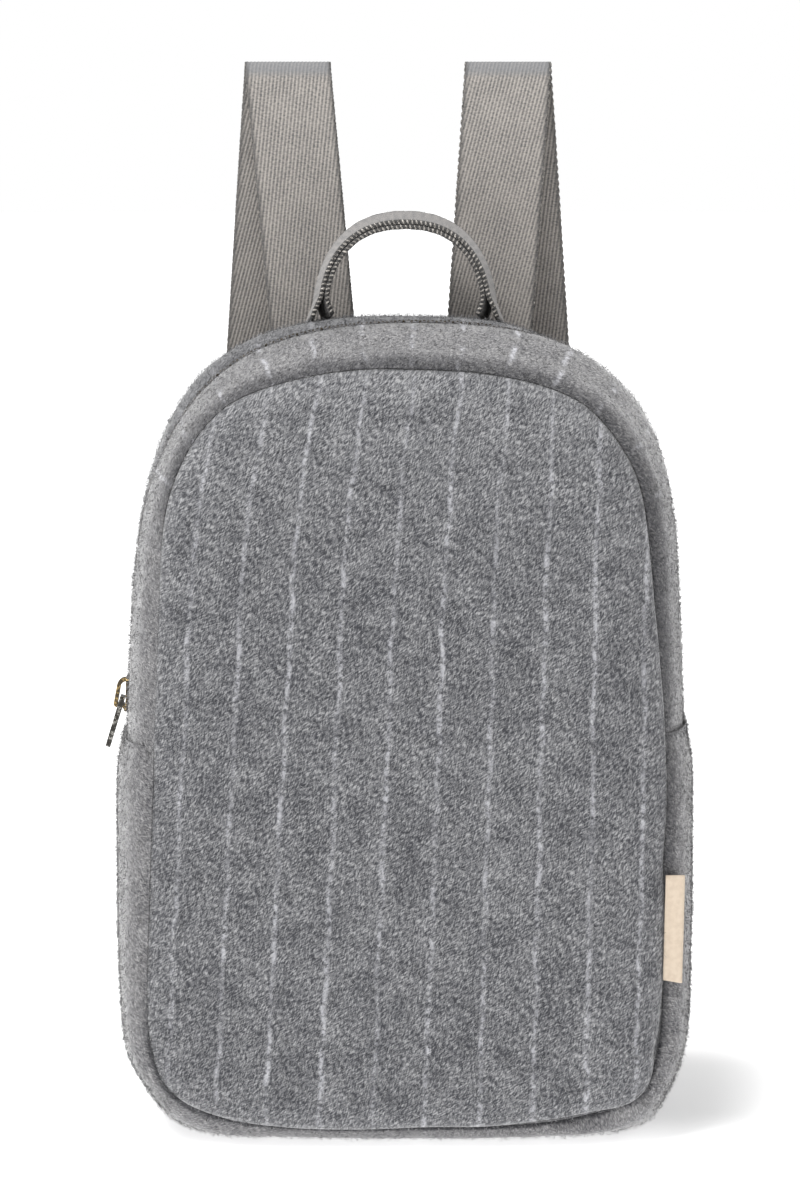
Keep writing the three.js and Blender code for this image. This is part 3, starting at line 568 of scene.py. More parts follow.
roundLevels = 2
lumpLook = {"large": 21, "small": 52, "smallShare": 0.45}
sinkZone = {"across": (0.03, 0.065), "up": (0.15, 0.2)}  # the right shoulder, behind the zip
behindZip = {"depth": (0.012, 0.034), "up": (0.2, 0.24)}  # in shade over the arch
# painted shadow: a dark line along the pockets' rims
rimShadowLook = {"dark": 0.85, "wide": 0.0025, "edge": 0.0005, "half": 0.04}  # the pockets' rims


# Pushes a wool piece about, draws it up to its seams, and says how much painted shade each point gets
def shapeWool(points, normals, look):
    large, small = ([noise.noise(Vector(p) * lumpLook[size]) for p in points] for size in ("large", "small"))
    lumps = np.array(large) + lumpLook["smallShare"] * np.array(small)
    points += normals * (lumps * look["lump"])[:, None]
    x, y, z = points.T
    fold = swellRim(points, normals, look["rim"]) if "rim" in look else np.zeros(len(points))
    if "rim" in look or "roll" in look:
        dropSeam(points, topDrop)
    if "roll" in look:
        rollBand(points, look["roll"])
        sagCorners(points, cornerSag)
    if "sink" in look:
        shoulder = smoothRise(x, *sinkZone["across"]) * smoothRise(z, *sinkZone["up"])
        points -= unit(radialAt(points)) * (look["sink"] * shoulder)[:, None]
    if "shade" in look:
        # painted shade: the back band is darkened near the zip, over the arch
        fold = look["shade"] * (1 - smoothRise(y, *behindZip["depth"])) * smoothRise(z, *behindZip["up"])
    rimShadow = 0.0
    if "dip" in look:
        low, rim, depth = look["dip"]
        # painted shadow along the top of the pocket's rim
        rimShadow = rimShadowLook["dark"] * smoothRise(z, rim - rimShadowLook["wide"], rim - rimShadowLook["edge"])
        points[:, 2] -= depth * smoothRise(z, low, rim) * np.clip(1 - (y / rimShadowLook["half"]) ** 2, 0, 1)
    for pull in look.get("drawn", ()):
        drawUp(points, pull)
    if "roll" in look:
        fold = np.maximum(bandSeamShade(points, bandSeamShadeLook), rimShadow)
    points[:, 2] = np.maximum(z, 0.0)
    return fold


# A wool piece: a copy of its solid, rounded off, shaped and brushed
def makeWool(look):
    bm = nodeCopy(look["node"])
    bmesh.ops.join_triangles(
        bm, faces=bm.faces, angle_face_threshold=math.radians(50), angle_shape_threshold=math.radians(70)
    )
    piece = addMesh(look["node"] + "_wool", bm)
    rounder = piece.modifiers.new("round_off", "SUBSURF")
    rounder.levels = rounder.render_levels = roundLevels
    bakeModifiers(piece)
    mesh = piece.data
    points, normals = readPoints(mesh), readNormals(mesh)
    fold = shapeWool(points, normals, look)
    mesh.vertices.foreach_set("co", points.ravel())
    mesh.update()
    dressed[look["node"]] = BVHTree.FromPolygons(points.tolist(), [p.vertices[:] for p in mesh.polygons])
    for name, values in {"fold": fold, **clothPlaces(points, look["facing"])}.items():
        writeFloats(mesh, name, values)
    dress(piece, woolCloth[look["cloth"]], stands=[look["node"]])
    makeNap(piece, look, fold)
    return piece


# The brushed nap: bent strands, each a closed sliver rooted in the cloth
napLook = {
    "length": 0.0026, "lengthRange": (0.5, 1.3), "width": 0.00009, "widthRange": (0.6, 1.2), "root": 0.0003,
    "rise": 0.26, "riseRange": (0.3, 1.5), "fuzz": 0.5, "fuzzRise": 3.4, "tipRange": (-0.4, 0.9), "bend": 0.5,
    "spread": 0.75, "inward": 0.8, "inFolds": 0.8, "foldDark": 0.9, "offFloor": 0.0003,
}


def makeNap(piece, look, fold):
    mesh = piece.data
    mesh.calc_loop_triangles()
    corners = np.empty(len(mesh.loop_triangles) * 3, dtype=np.int32)
    mesh.loop_triangles.foreach_get("vertices", corners)
    corners = corners.reshape(-1, 3)
    points, normals = readPoints(mesh), readNormals(mesh)
    a, b, c = (points[corners[:, i]] for i in range(3))
    cross = np.cross(b - a, c - a)
    area = np.linalg.norm(cross, axis=1)
    middle = (a + b + c) / 3
    outside = np.sum(unit(cross) * outwardAt(middle, look["facing"]), axis=1)
    weight = area * (outside > look["napEdge"]) * (middle[:, 2] < look.get("napBelow", 1.0))
    weight *= 1 + napLook["inFolds"] * fold[corners].mean(axis=1)
    rng = np.random.default_rng(look["seed"])
    count = look["strands"]
    pick = rng.choice(len(corners), count, p=weight / weight.sum())
    first, second = np.sqrt(rng.random(count)), rng.random(count)
    shares = np.stack((1 - first, first * (1 - second), first * second), axis=1)
    root = np.einsum("ki,kij->kj", shares, points[corners[pick]])
    out = unit(np.einsum("ki,kij->kj", shares, normals[corners[pick]]))
    inFold = np.einsum("ki,ki->k", shares, fold[corners[pick]])

    flow = np.array(look["flow"]) + rng.normal(0, napLook["spread"], (count, 3))
    if look["facing"] == "round":
        flow = flow - napLook["inward"] * unit(radialAt(root))
    flow = unit(flow - out * np.sum(flow * out, axis=1, keepdims=True))
    rise = napLook["rise"] * rng.uniform(*napLook["riseRange"], (count, 1))
    rise = np.where(rng.random((count, 1)) < napLook["fuzz"], rise * napLook["fuzzRise"], rise)
    length = napLook["length"] * rng.uniform(*napLook["lengthRange"], (count, 1))
    width = napLook["width"] * rng.uniform(*napLook["widthRange"], (count, 1))
    side = np.cross(out, flow)
    bend = rng.normal(0, napLook["bend"], (count, 1))
    middle = root + length * 0.5 * unit(flow + out * rise)
    tipRise = rise * rng.uniform(*napLook["tipRange"], (count, 1))
    tip = middle + length * 0.5 * unit(flow + side * bend + out * tipRise)
    for place in (middle, tip):
        place[:, 2] = np.maximum(place[:, 2], napLook["offFloor"])
    # painted shade: each strand carries the seam shade of the cloth at its root
    own = {"tone": rng.random(count), "fold": inFold * napLook["foldDark"], **clothPlaces(root, look["facing"])}
    root = root - out * napLook["root"]
    thirds = [math.tau * share / 3 for share in range(3)]
    ring = [middle + width * (side * math.cos(t) + out * math.sin(t)) for t in thirds]
    strands = np.stack((root, *ring, tip), axis=1).reshape(-1, 3)
    pattern = np.array(((0, 1, 2), (0, 2, 3), (0, 3, 1), (4, 2, 1), (4, 3, 2), (4, 1, 3)))
    faces = (pattern[None] + 5 * np.arange(count)[:, None, None]).reshape(-1, 3)

    nap = bpy.data.meshes.new(look["node"] + "_nap")
    nap.from_pydata(strands, [], faces)
    piece = addObject(look["node"] + "_nap", nap)
    for name, values in own.items():
        writeFloats(nap, name, np.repeat(values, 5))
    dress(piece, woolCloth[look["cloth"] + "Nap"])


toFront = {"to": "front_panel", "near": 0.002, "reach": 0.0075, "strength": 0.92, "keep": 0.0001}
frontRoll = {
    "top": 0.0046, "topFrom": (0.2, 0.27), "left": 0.001, "side": 0.0012, "flush": 0.0054, "wide": 0.011,
    "crown": 0.0026, "crownFrom": (0.25, 0.65), "crownTo": (0.8, 1.25), "crownLeast": 0.35,
    "crownDepth": -0.012, "crownHalf": 0.01,
}
toBack = {**toFront, "to": "back_panel", "near": 0.001, "reach": 0.005}
cornerSag = {
    "from": (0.04, 0.084), "seam": 0.005,
    "left": ((0.0, 0.003), (0.006, 0.0016), (0.0125, 0.0006), (0.02, 0.0)),
    "right": (
        (0.0, 0.0088), (0.003, 0.0082), (0.006, 0.0068), (0.01, 0.0048), (0.014, 0.0032), (0.02, 0.0016),
        (0.028, 0.0),
    ),
}
frontPanel = {
    "node": "front_panel", "lump": 0.0006, "facing": "front", "cloth": "front",
    "rim": {
        "out": 0.0009, "wave": 0.0005, "waveScale": 34, "rises": (0, 0.003), "ends": (0.007, 0.0115),
        "paintedSeamShade": (0.0005, 0.005), "rightFrom": (0.02, 0.08), "lowFrom": (-0.06, -0.02),
        "right": (
            (0.0, 0.003), (0.017, 0.003), (0.026, 0.0), (0.036, -0.0028), (0.055, -0.0014), (0.08, 0.0),
            (0.105, 0.0006), (0.138, 0.0036), (0.16, 0.0028), (0.185, 0.0018), (0.215, 0.0),
        ),
        "low": (
            (-0.1, -0.001), (0.0, -0.0008), (0.028, -0.002), (0.05, -0.0034), (0.068, -0.0036), (0.08, 0.0),
            (0.09, 0.003),
        ),
    },
    "strands": 30000, "flow": (0.12, 0, -1), "napEdge": -0.35, "seed": 11,
}
backPanel = {
    "node": "back_panel", "lump": 0.0005, "facing": "back", "cloth": "front",
    "strands": 15000, "flow": (-0.1, 0, -1), "napEdge": -0.25, "seed": 12,
}
zipBandFront = {
    "node": "zip_band_front", "lump": 0.0005, "facing": "round", "cloth": "band",
    "drawn": [toFront], "roll": frontRoll, "strands": 20000, "flow": (0, -1, 0), "napEdge": -0.3, "seed": 13,
}
# painted shade: the back band takes the front's darker cloth rather than the bands' lighter one
zipBandBack = {
    "node": "zip_band_back", "lump": 0.0005, "facing": "round", "cloth": "front",
    "drawn": [toBack], "sink": 0.0017, "shade": 0.45,
    "strands": 11000, "flow": (0, 1, 0), "napEdge": -0.2, "seed": 14,
}
gussetBase = {
    "node": "gusset_base", "lump": 0.0004, "facing": "round", "cloth": "band",
    "drawn": [toFront, toBack], "roll": frontRoll,
    "strands": 9000, "flow": (0, -1, 0), "napEdge": -0.2, "napBelow": 0.024, "seed": 15,
}

# The pockets lie close: to both seams, to the zip bands at their rims and to the base at their lower edges
toRim = {"near": 0.004, "reach": 0.006, "strength": 0.68, "keep": 0.0006, "upwards": 1, "zone": (0.127, 0.1485)}
toRimRight = {**toRim, "zone": (0.1315, 0.153)}
toBase = {
    "to": "gusset_base", "near": 0.001, "reach": 0.004, "strength": 0.9, "keep": 0.0001,
    "upwards": -1, "zone": (-0.034, -0.018),
}
zipBands = ("zip_band_front", "zip_band_back")
pocketLeft = {
    "node": "pocket_left", "lump": 0.0004, "facing": "round", "cloth": "band",
    "drawn": [*({**toRim, "to": band} for band in zipBands), toBase, toBack, toFront],
    "roll": frontRoll, "dip": (0.12, 0.149, 0.003),
    "strands": 15000, "flow": (0, -1, 0), "napEdge": -0.05, "seed": 16,
}
pocketRight = {
    **pocketLeft, "node": "pocket_right", "seed": 17, "dip": (0.124, 0.1535, 0.002),
    "drawn": [*({**toRimRight, "to": band} for band in zipBands), toBase, toBack, toFront],
}

# Webbing: taupe twill with looped edges
webbingLook = {
    # fold is a painted shade colour, for the webbing under its top fold and evenly over the handle
    "dark": (0.105, 0.104, 0.105), "light": (0.435, 0.402, 0.37), "fold": (0.21, 0.215, 0.225, 1),
    "border": (0.07, 0.069, 0.069, 1), "borderWide": 0.0015, "scallopPitch": 0.0052, "scallop": 0.00035,
    "backShade": 0.1, "ribPitch": 0.00136, "ribSlant": 0.2, "ribRise": 0.00009,
    "dashPitch": 0.0017, "stagger": 0.37,
}


def webbingMaterial(look):
    material, tree, shader = newMaterial("webbing_twill", Roughness=0.8, Specular_IOR_Level=0.25)
    shader.inputs["Sheen Weight"].default_value = 0.1
    place = addNode(tree, "ShaderNodeUVMap", uv_map="weave").outputs[0]
    split = addNode(tree, "ShaderNodeSeparateXYZ", {0: place})
    across, along = split.outputs[0], split.outputs[1]
    face = readAttribute(tree, "face")
    slant = calc(tree, "MULTIPLY", calc(tree, "MULTIPLY", face, along), -look["ribSlant"])
    ribs = calc(tree, "DIVIDE", calc(tree, "ADD", slant, across), look["ribPitch"])
    rib = calc(tree, "SINE", calc(tree, "MULTIPLY", ribs, 2 * math.pi))
    rib = calc(tree, "ADD", rib, 0.32)  # the light threads are wider than the gaps
    dashes = calc(tree, "DIVIDE", along, look["dashPitch"])
    dashes = calc(tree, "MULTIPLY_ADD", calc(tree, "FLOOR", ribs), look["stagger"], dashes)
    dash = calc(tree, "SINE", calc(tree, "MULTIPLY", dashes, 2 * math.pi))
    yarn = calc(tree, "MULTIPLY_ADD", dash, 0.06, calc(tree, "MULTIPLY_ADD", rib, 0.28, 0.45))
    spun = grain(tree, place, 1700, 2, 0.6, stretch=(2.2, 1, 1))
    worn = grain(tree, place, 90, 2)
    tone = calc(tree, "ADD", yarn, remap(tree, spun, 0.25, 0.75, -0.25, 0.25))
    tone = calc(tree, "ADD", tone, remap(tree, worn, 0.3, 0.7, -0.06, 0.06))
    colour = rampColours(tree, tone, [(0.05, look["dark"]), (0.92, look["light"])])
    # painted shade: blends towards the fold colour where the crease attribute is set
    foldShade = readAttribute(tree, "crease")
    colour = blendColours(tree, calc(tree, "MULTIPLY", foldShade, 0.75), colour, look["fold"])
    shade = remap(tree, face, -1.0, 1.0, look["backShade"], 0.0)
    colour = blendColours(tree, shade, colour, look["border"])
    border = readAttribute(tree, "border")
    colour = blendColours(tree, calc(tree, "MULTIPLY", border, 0.85), colour, look["border"])
    tree.links.new(colour, shader.inputs["Base Color"])
    addBump(tree, shader, yarn, 0.6, 0.0004)
    return material


webbingCloth = webbingMaterial(webbingLook)


# A smooth line through a short table of points, in even steps
def smoothRoute(points, spacing):
    points = [Vector(p) for p in points]
    points = [2 * points[0] - points[1], *points, 2 * points[-1] - points[-2]]
    fine = []
    for p0, p1, p2, p3 in zip(points, points[1:], points[2:], points[3:]):
        t1 = (p1 - p0).length ** 0.5
        t2 = t1 + (p2 - p1).length ** 0.5
        t3 = t2 + (p3 - p2).length ** 0.5
        for share in np.arange(24) / 24:
            t = t1 + (t2 - t1) * share
            a = p0.lerp(p1, t / t1)
            b = p1.lerp(p2, (t - t1) / (t2 - t1))
            c = p2.lerp(p3, (t - t2) / (t3 - t2))
            fine.append(a.lerp(b, t / t2).lerp(b.lerp(c, (t - t1) / (t3 - t1)), (t - t1) / (t2 - t1)))
    fine.append(points[-2])
    fine = np.array(fine)
    return evenRows(fine, max(2, round(runsAlong(fine)[-1] / spacing)) + 1)


def evenRows(rows, count):
    runs = runsAlong(rows)
    return readAt(rows, runs, np.linspace(0, runs[-1], count)), runs[-1]


# A webbing ribbon: a flat grid bent along a line, with ribs raised in it and scalloped edges
def makeRibbon(name, centre, out, side, width, wall, length):
    rows, columns = len(centre) - 1, round(width / webbingLook["ribPitch"]) * 2
    bm = bmesh.new()
    uv = bm.loops.layers.uv.new("weave")
    bmesh.ops.create_grid(bm, x_segments=columns, y_segments=rows, size=0.5)
    for face in bm.faces:
        for loop in face.loops:
            flat = loop.vert.co
            loop[uv].uv = ((flat.x + 0.5) * width, (flat.y + 0.5) * length)
    border = []
    for vert in bm.verts:
        row = round((vert.co.y + 0.5) * rows)
        across = vert.co.x * width
        border.append(1 - min((width / 2 - abs(across)) / webbingLook["borderWide"], 1))
        scallop = math.sin(2 * math.pi * (vert.co.y + 0.5) * length / webbingLook["scallopPitch"])
        across += math.copysign(webbingLook["scallop"] * scallop * border[-1], across)
        lean = (vert.co.x + 0.5) * width - webbingLook["ribSlant"] * (vert.co.y + 0.5) * length
        rise = webbingLook["ribRise"] * math.sin(2 * math.pi * lean / webbingLook["ribPitch"])
        vert.co = Vector(centre[row] + side[row] * across + out[row] * rise)
    piece = addMesh(name, bm)
    addWall(piece, "webbing_wall", wall)
    half = len(piece.data.vertices) // 2  # the twill leans the other way on the second face
    writeFloats(piece.data, "face", np.repeat((1.0, -1.0), half))
    writeFloats(piece.data, "border", np.tile(border, 2))
    return piece


# The loops of weft yarn down both edges of a ribbon
loopLook = {"first": 0.0008, "last": 0.0006, "inset": 0.0001, "lean": 0.5}


def makeLoops(name, centre, out, side, width, size, pitch):
    runs = runsAlong(centre)
    at = np.arange(loopLook["first"], runs[-1] - loopLook["last"], pitch)
    middle, outs, sides = (readAt(rows, runs, at) for rows in (centre, out, side))
    along = np.gradient(middle, axis=0)
    places = []
    for end in (-1, 1):
        for p, a, o, s in zip(middle, along, unit(outs), unit(sides)):
            leaned = Vector(a).normalized() + loopLook["lean"] * end * Vector(o)
            places.append(frameAt(p + s * end * (width / 2 - loopLook["inset"]), leaned, o))
    return scatter(name, makeBead(size), places)


# Shoulder straps: up from the back panel, over the fold, and down to the lower corners
strapLook = {
    "width": 0.032, "edges": 0.0006, "wall": 0.0018, "face": 0.044, "top": 0.390, "foldRadius": 0.0034,
    "foldBack": 0.0026, "creaseFrom": 0.0058, "creaseTo": 0.0036, "step": 0.0013,
    "rise": ((0.244, 0.0012), (0.262, 0.0012), (0.284, 0.0024), (0.330, 0.005)),
    "fall": (
        (0.360, 0.0145), (0.310, 0.018), (0.240, 0.0225), (0.165, 0.023), (0.105, 0.0175),
        (0.066, 0.007), (0.050, 0.0016), (0.040, 0.0012), (0.030, 0.0012),
    ),
}
strapLeft = {
    "node": "strap_left", "hand": -1, "sewnX": 0.032, "foldX": 0.0438, "footX": 0.070,
    "loop": (0.0008, 0.0006, 0.0011), "loopPitch": 0.0014,
}
strapRight = {
    "node": "strap_right", "hand": 1, "sewnX": 0.030, "foldX": 0.0386, "footX": 0.065,
    "loop": (0.0015, 0.0008, 0.0010), "loopPitch": 0.0028,
}


def strapRoute(look, strap):
    radius = look["foldRadius"]
    crown = look["top"] - look["wall"] / 2 - radius
    behind = look["rise"][-1][1] + look["foldBack"] + radius
    turns = [math.pi * share / 4 for share in range(5)]
    fold = [(crown + radius * math.sin(t), behind - radius * math.cos(t)) for t in turns]
    rows = [*look["rise"], *fold, *look["fall"]]
    bend = len(look["rise"]) + 2
    sewn, low = look["rise"][1][0], look["fall"][-1][0]
    points = []
    for i, (height, back) in enumerate(rows):
        if i <= bend:
            share = max(height - sewn, 0) / (look["top"] - sewn)
            x = strap["sewnX"] + (strap["foldX"] - strap["sewnX"]) * share
        else:
            share = (height - low) / (look["top"] - low)
            x = strap["footX"] + (strap["foldX"] - strap["footX"]) * share
        points.append((strap["hand"] * x, look["face"] + back, height))
    return points


def makeStrap(look, strap):
    centre, length = smoothRoute(strapRoute(look, strap), look["step"])
    along = np.gradient(centre, axis=0)
    out = unit(np.stack((np.zeros(len(along)), along[:, 2], -along[:, 1]), axis=1))
    side = np.tile((1.0, 0, 0), (len(along), 1))
    width = look["width"] - look["edges"]
    piece = makeRibbon(strap["node"] + "_webbing", centre, out, side, width, look["wall"], length)
    # painted shade: the strap darkens just under its top fold
    below = look["top"] - readPoints(piece.data)[:, 2]
    writeFloats(piece.data, "crease", 1 - smoothRise(below, look["creaseTo"], look["creaseFrom"]))
    dress(piece, webbingCloth, stands=[strap["node"]])
    loops = makeLoops(strap["node"] + "_edges", centre, out, side, width, strap["loop"], strap["loopPitch"])
    dress(loops, webbingEdge)
    makeStitches(strap["node"] + "_stitches", centre, out, side, width, look["wall"])
    return length


# A box of stitches with a cross in it, sewn through both ends of a strap
stitchLook = {"inset": 0.003, "span": 0.018, "pitch": 0.0034, "size": (0.0012, 0.0003, 0.00028), "proud": 0.0001}


def makeStitches(name, centre, out, side, width, wall):
    half, span = width / 2 - stitchLook["inset"], stitchLook["span"]
    box = [(-half, 0), (half, 0), (half, span), (-half, span)]
    lines = [*zip(box, box[1:] + box[:1]), (box[0], box[2]), (box[1], box[3])]
    runs = runsAlong(centre)
    places = []
    for first in (stitchLook["inset"], runs[-1] - stitchLook["inset"] - span):
        for (u1, v1), (u2, v2) in lines:
            count = round(math.hypot(u2 - u1, v2 - v1) / stitchLook["pitch"])
            for k in range(count):
                share = (k + 0.5) / count
                run = first + v1 + (v2 - v1) * share
                middle, across, outward = (Vector(readAt(rows, runs, run)) for rows in (centre, side, out))
                along = outward.cross(across)
                face = outward if outward.y > 0 else -outward
                spot = middle + across * (u1 + (u2 - u1) * share) + face * (wall / 2 + stitchLook["proud"])
                places.append(frameAt(spot, across * (u2 - u1) - along * (v2 - v1), face))
    dress(scatter(name, makeBead(stitchLook["size"]), places), webbingEdge)


def yarnMaterial(name, dark, light):
    material, tree, shader = newMaterial(name, Roughness=0.85, Specular_IOR_Level=0.2)
    place = objectPlace(tree)
    twist = grain(tree, place, 900, 3, 0.6)
    tree.links.new(rampColours(tree, twist, [(0.35, dark), (0.65, light)]), shader.inputs["Base Color"])
    addBump(tree, shader, twist, 0.4, 0.0003)
    return material


webbingEdge = yarnMaterial("webbing_edge", (0.05, 0.049, 0.048), (0.33, 0.31, 0.285))
handleYarn = yarnMaterial("handle_edge", (0.05, 0.048, 0.046), (0.6, 0.565, 0.52))

# Carrying handle: two layers of webbing, one on the other, whose feet part on the back band
handleLook = {
    "frontDepth": 0.014, "frontHalf": 0.030, "frontTop": 0.3315, "backDepth": 0.033, "backHalf": 0.033,
    "backTop": 0.3337, "wall": 0.0016, "apart": 0.0019, "footApart": 0.0072, "footRise": 0.009, "power": 2.3,
    "steps": 72, "lift": 0.0004, "loop": (0.00048, 0.0009, 0.00115), "loopPitch": 0.0018, "worn": 0.6,
}
bandSurface = nodeSurface("zip_band_back")


def bandHeight(x, depth):
    return bandSurface.ray_cast(Vector((x, depth, 0.4)), Vector((0, 0, -1)))[0].z


def handleEdge(look, edge, turn, layer):
    rise = math.sin(turn) ** (2 / look["power"])
    x = math.copysign(abs(math.cos(turn)) ** (2 / look["power"]), math.cos(turn)) * look[edge + "Half"]
    depth = look[edge + "Depth"]
    base = bandHeight(x, depth)
    z = base + (look[edge + "Top"] - base) * rise
    near = smoothRise(z - base, 0, look["footRise"])
    apart = look["footApart"] + (look["apart"] - look["footApart"]) * near
    away = Vector((math.cos(turn), 0, rise)).normalized() * (layer * apart / 2)
    place = Vector((x, depth, z)) + away
    floor = bandHeight(place.x, depth) + look["lift"] + look["wall"] / 2
    place.z = max(place.z, floor)
    return np.array(place)


def makeHandle(look):
    turns = [math.pi * (0.001 + 0.998 * i / look["steps"]) for i in range(look["steps"] + 1)]
    for layerName, layer in (("outer", 1), ("inner", -1)):
        front = np.array([handleEdge(look, "front", t, layer) for t in turns])
        back = np.array([handleEdge(look, "back", t, layer) for t in turns])
        front, runFront = evenRows(front, len(turns))
        back, runBack = evenRows(back, len(turns))
        centre = (front + back) / 2
        across = back - front
        width = float(np.linalg.norm(across, axis=1).mean())
        side = unit(across)
        along = np.gradient(centre, axis=0)
        out = unit(np.cross(along, side))
        if out[len(out) // 2][2] < 0:
            out = -out
        name = "handle_" + layerName
        piece = makeRibbon(name, centre, out, side, width, look["wall"], (runFront + runBack) / 2)
        # painted shade: the whole handle is blended evenly towards the webbing's darker fold colour
        writeFloats(piece.data, "crease", np.full(len(piece.data.vertices), look["worn"]))
        dress(piece, webbingCloth, stands=["handle"] if layer > 0 else ())
        loops = makeLoops(name + "_edges", centre, out, side, width, look["loop"], look["loopPitch"])
        dress(loops, handleYarn)


# Zip: teeth over the chain's ridge, an antique brass slider and its pull
zipLook = {
    "depth": 0.0025, "low": 0.15, "archZ": 0.206, "outside": 0.2, "pitch": 0.0015,
    "tooth": (0.00095, 0.0030, 0.0024), "toothEdge": 0.00025, "shift": 0.0011, "sunk": 0.0009,
}


def metalMaterial(name, colour, worn, roughness):
    material, tree, shader = newMaterial(name, Metallic=1.0)
    place = objectPlace(tree)
    edgeWearAndGlint = readAttribute(tree, "edgeWearAndGlint")
    tarnishWearAndGlint = calc(tree, "MULTIPLY_ADD", edgeWearAndGlint, 0.3, grain(tree, place, 700, 4, 0.65))
    stops = [(0.5, colour), (0.85, worn)]
    tree.links.new(rampColours(tree, tarnishWearAndGlint, stops), shader.inputs["Base Color"])
    rough = remap(tree, grain(tree, place, 1800, 2), 0.3, 0.7, roughness * 0.8, roughness * 1.3)
    tree.links.new(rough, shader.inputs["Roughness"])
    return material


# the worn colour shows on the rounded edges: real wear on the slider's brass, and a painted glint, near white, on
# the pull
sliderBrass = metalMaterial("antique_brass", (0.05, 0.041, 0.029), (0.55, 0.39, 0.16), 0.2)
pullMetal = metalMaterial("dark_metal", (0.03, 0.029, 0.026), (0.62, 0.6, 0.56), 0.15)
toothMetal = metalMaterial("tooth_metal", (0.05, 0.042, 0.032), (0.16, 0.12, 0.075), 0.4)


def tapeMaterial():
    material, tree, shader = newMaterial("zip_tape", Roughness=0.9, Specular_IOR_Level=0.15)
    place = objectPlace(tree)
    weave = grain(tree, place, 1600, 2, 0.5)
    stops = [(0.3, (0.09, 0.091, 0.096)), (0.7, (0.18, 0.18, 0.187))]
    tree.links.new(rampColours(tree, weave, stops), shader.inputs["Base Color"])
    addBump(tree, shader, weave, 0.5, 0.0003)
    return material


def zipLine():
    chain = nodeSurface("zip_chain")
    heights = np.linspace(zipLook["low"], zipLook["archZ"], 41)
    views = [(height, Vector((-1, 0, 0))) for height in heights[:-1]]
    for turn in np.radians(range(181)):
        views.append((zipLook["archZ"], Vector((-math.cos(turn), 0, math.sin(turn)))))
    views += [(height, Vector((1, 0, 0))) for height in heights[-2::-1]]
    places = []
    for height, aim in views:
        start = Vector((0, zipLook["depth"], height)) + aim * zipLook["outside"]
        place = chain.ray_cast(start, -aim)[0]
        if place:
            places.append(np.array(place))
    return np.array(places)


def makeZip():
    line = zipLine()
    runs = runsAlong(line)
    line = readAt(line, runs, np.arange(0, runs[-1], zipLook["pitch"]))
    along = np.gradient(line, axis=0)
    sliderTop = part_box("zip_slider")[1].z
    places = []
    for i, (p, a) in enumerate(zip(line, along)):
        if p[0] < 0 and p[2] < sliderTop:
            continue
        out = Vector((-a[2], 0, a[0]))
        shift = Vector((0, zipLook["shift"] * (1 if i % 2 else -1), 0))
        spot = Vector(p) + shift - out.normalized() * zipLook["sunk"]
        places.append(frameAt(spot, a, out))
    bm = bmesh.new()
    bmesh.ops.create_cube(bm, size=1)
    bmesh.ops.scale(bm, vec=zipLook["tooth"], verts=bm.verts)
    bmesh.ops.bevel(
        bm, geom=bm.edges[:], offset=zipLook["toothEdge"], affect="EDGES", segments=1, profile=0.5, material=-1
    )
    bmesh.ops.triangulate(bm, faces=bm.faces)
    teeth = scatter("zip_teeth", bm, places)
    dress(teeth, toothMetal)
    chain = nodes["zip_chain"]
    chain.data.materials.clear()
    chain.data.materials.append(tapeMaterial())


sliderLook = {"node": "zip_slider", "body": "bag", "edge": 0.0003, "plating": 0.00015, "finish": sliderBrass}
pullLook = {"node": "zip_pull", "body": "zip_pull", "edge": 0.0003, "plating": 0.0001, "finish": pullMetal}


# A metal fitting: its solid, thickened by its plating, with its edges rounded
def makeFitting(look):
    bm = nodeCopy(look["node"])
    # the edges are made lighter: worn brass on the slider, a painted glint on the pull
    edgeWearAndGlint = bm.faces.layers.float.new("edgeWearAndGlint")  # the finish is worn off along the edges
    bmesh.ops.dissolve_limit(bm, angle_limit=math.radians(3), verts=bm.verts, edges=bm.edges)
    for vert in bm.verts:
        vert.co += vert.normal * vert.calc_shell_factor() * look["plating"]
    sharp = [e for e in bm.edges if len(e.link_faces) == 2 and e.calc_face_angle(0) > math.radians(35)]
    made = bmesh.ops.bevel(
        bm, geom=sharp, offset=look["edge"], affect="EDGES", segments=2, profile=0.5, material=-1,
        clamp_overlap=True,
    )
    for face in made["faces"]:
        face[edgeWearAndGlint] = 1.0
    piece = addMesh(look["node"] + "_metal", bm, smooth=False)
    dress(piece, look["finish"], body=look["body"], stands=[look["node"]])


# Label: a bare cream tab of woven tape, folded on itself
labelLook = {
    "wall": 0.00042, "apart": 0.0005, "rows": 24, "columns": 22, "ahead": 0.0016, "trim": 0.0006, "inset": 0.0003,
    "wave": 0.00025, "lean": 0.0006, "slant": 0.0013, "lift": 0.0008, "threadPitch": 0.00045,
}


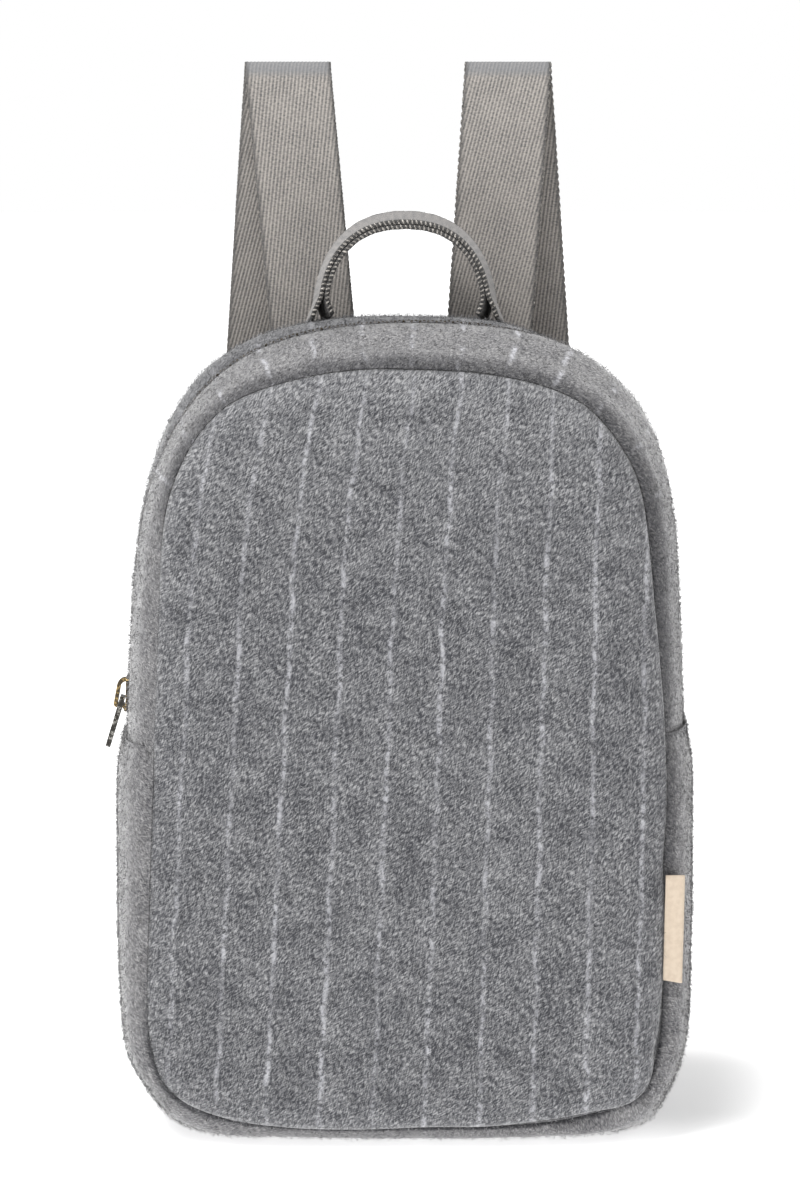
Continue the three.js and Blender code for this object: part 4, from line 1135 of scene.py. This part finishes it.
def labelMaterial(look):
    material, tree, shader = newMaterial("label_cotton", Roughness=0.85, Specular_IOR_Level=0.2)
    place = objectPlace(tree)
    split = addNode(tree, "ShaderNodeSeparateXYZ", {0: place})
    threads = 2 * math.pi / look["threadPitch"]
    warp = calc(tree, "SINE", calc(tree, "MULTIPLY", split.outputs[0], threads))
    weft = calc(tree, "SINE", calc(tree, "MULTIPLY", split.outputs[2], threads))
    weave = calc(tree, "MULTIPLY_ADD", calc(tree, "MULTIPLY", warp, weft), 0.25, 0.5)
    tone = calc(tree, "ADD", weave, remap(tree, grain(tree, place, 500, 3), 0.3, 0.7, -0.12, 0.12))
    stops = [(0.1, (0.49, 0.4, 0.31)), (0.6, (0.635, 0.53, 0.42)), (0.95, (0.7, 0.617, 0.515))]
    tree.links.new(rampColours(tree, tone, stops), shader.inputs["Base Color"])
    addBump(tree, shader, weave, 0.35, 0.0002)
    return material


def makeLabel(look):
    low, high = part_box("label_tab")
    bm = bmesh.new()
    bmesh.ops.create_grid(bm, x_segments=look["columns"], y_segments=look["rows"], size=0.5)
    depth, reach = (low.y + high.y) / 2 - look["ahead"], high.x - low.x - look["trim"]
    half = look["apart"] / 2
    for vert in bm.verts:
        across, up = vert.co.x * 2, vert.co.y + 0.5
        inFold = max(0.0, 1 - abs(across) * reach / half)
        turn = math.pi / 2 * (1 - inFold) * (1 if across >= 0 else -1)
        x = high.x - half + half * math.cos(turn) - max(abs(across) * reach - half, 0)
        outer = (x - low.x) / reach
        wave = look["wave"] * math.sin(up * 7 + 1) * outer
        lean = look["lean"] * (up - 0.5)
        slant = look["slant"] * (1 - up) * outer
        height = low.z + look["lift"] * (1 - up) + up * (high.z - low.z) - slant
        vert.co = Vector((x + lean - look["inset"], depth + half * math.sin(turn) + wave, height))
    piece = addMesh("label_tab_cotton", bm)
    addWall(piece, "label_wall", look["wall"])
    dress(piece, labelMaterial(look), stands=["label_tab"])


makeCamera(photoView)
makeStudio(studio)
print("camera and studio set")

frontPiece = makeWool(frontPanel)
backPiece = makeWool(backPanel)
for woolPiece in (zipBandFront, zipBandBack, gussetBase, pocketLeft, pocketRight):
    makeWool(woolPiece)
print("wool pieces brushed")

for strap in (strapLeft, strapRight):
    print("strap length", round(makeStrap(strapLook, strap), 3))
makeHandle(handleLook)
print("webbing made")

makeZip()
makeFitting(sliderLook)
makeFitting(pullLook)
makeLabel(labelLook)
print("zip and label made")

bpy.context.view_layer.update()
faces = [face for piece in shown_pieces() if piece.type == "MESH" for face in piece.data.polygons]
print("total triangles", sum(len(face.vertices) - 2 for face in faces))
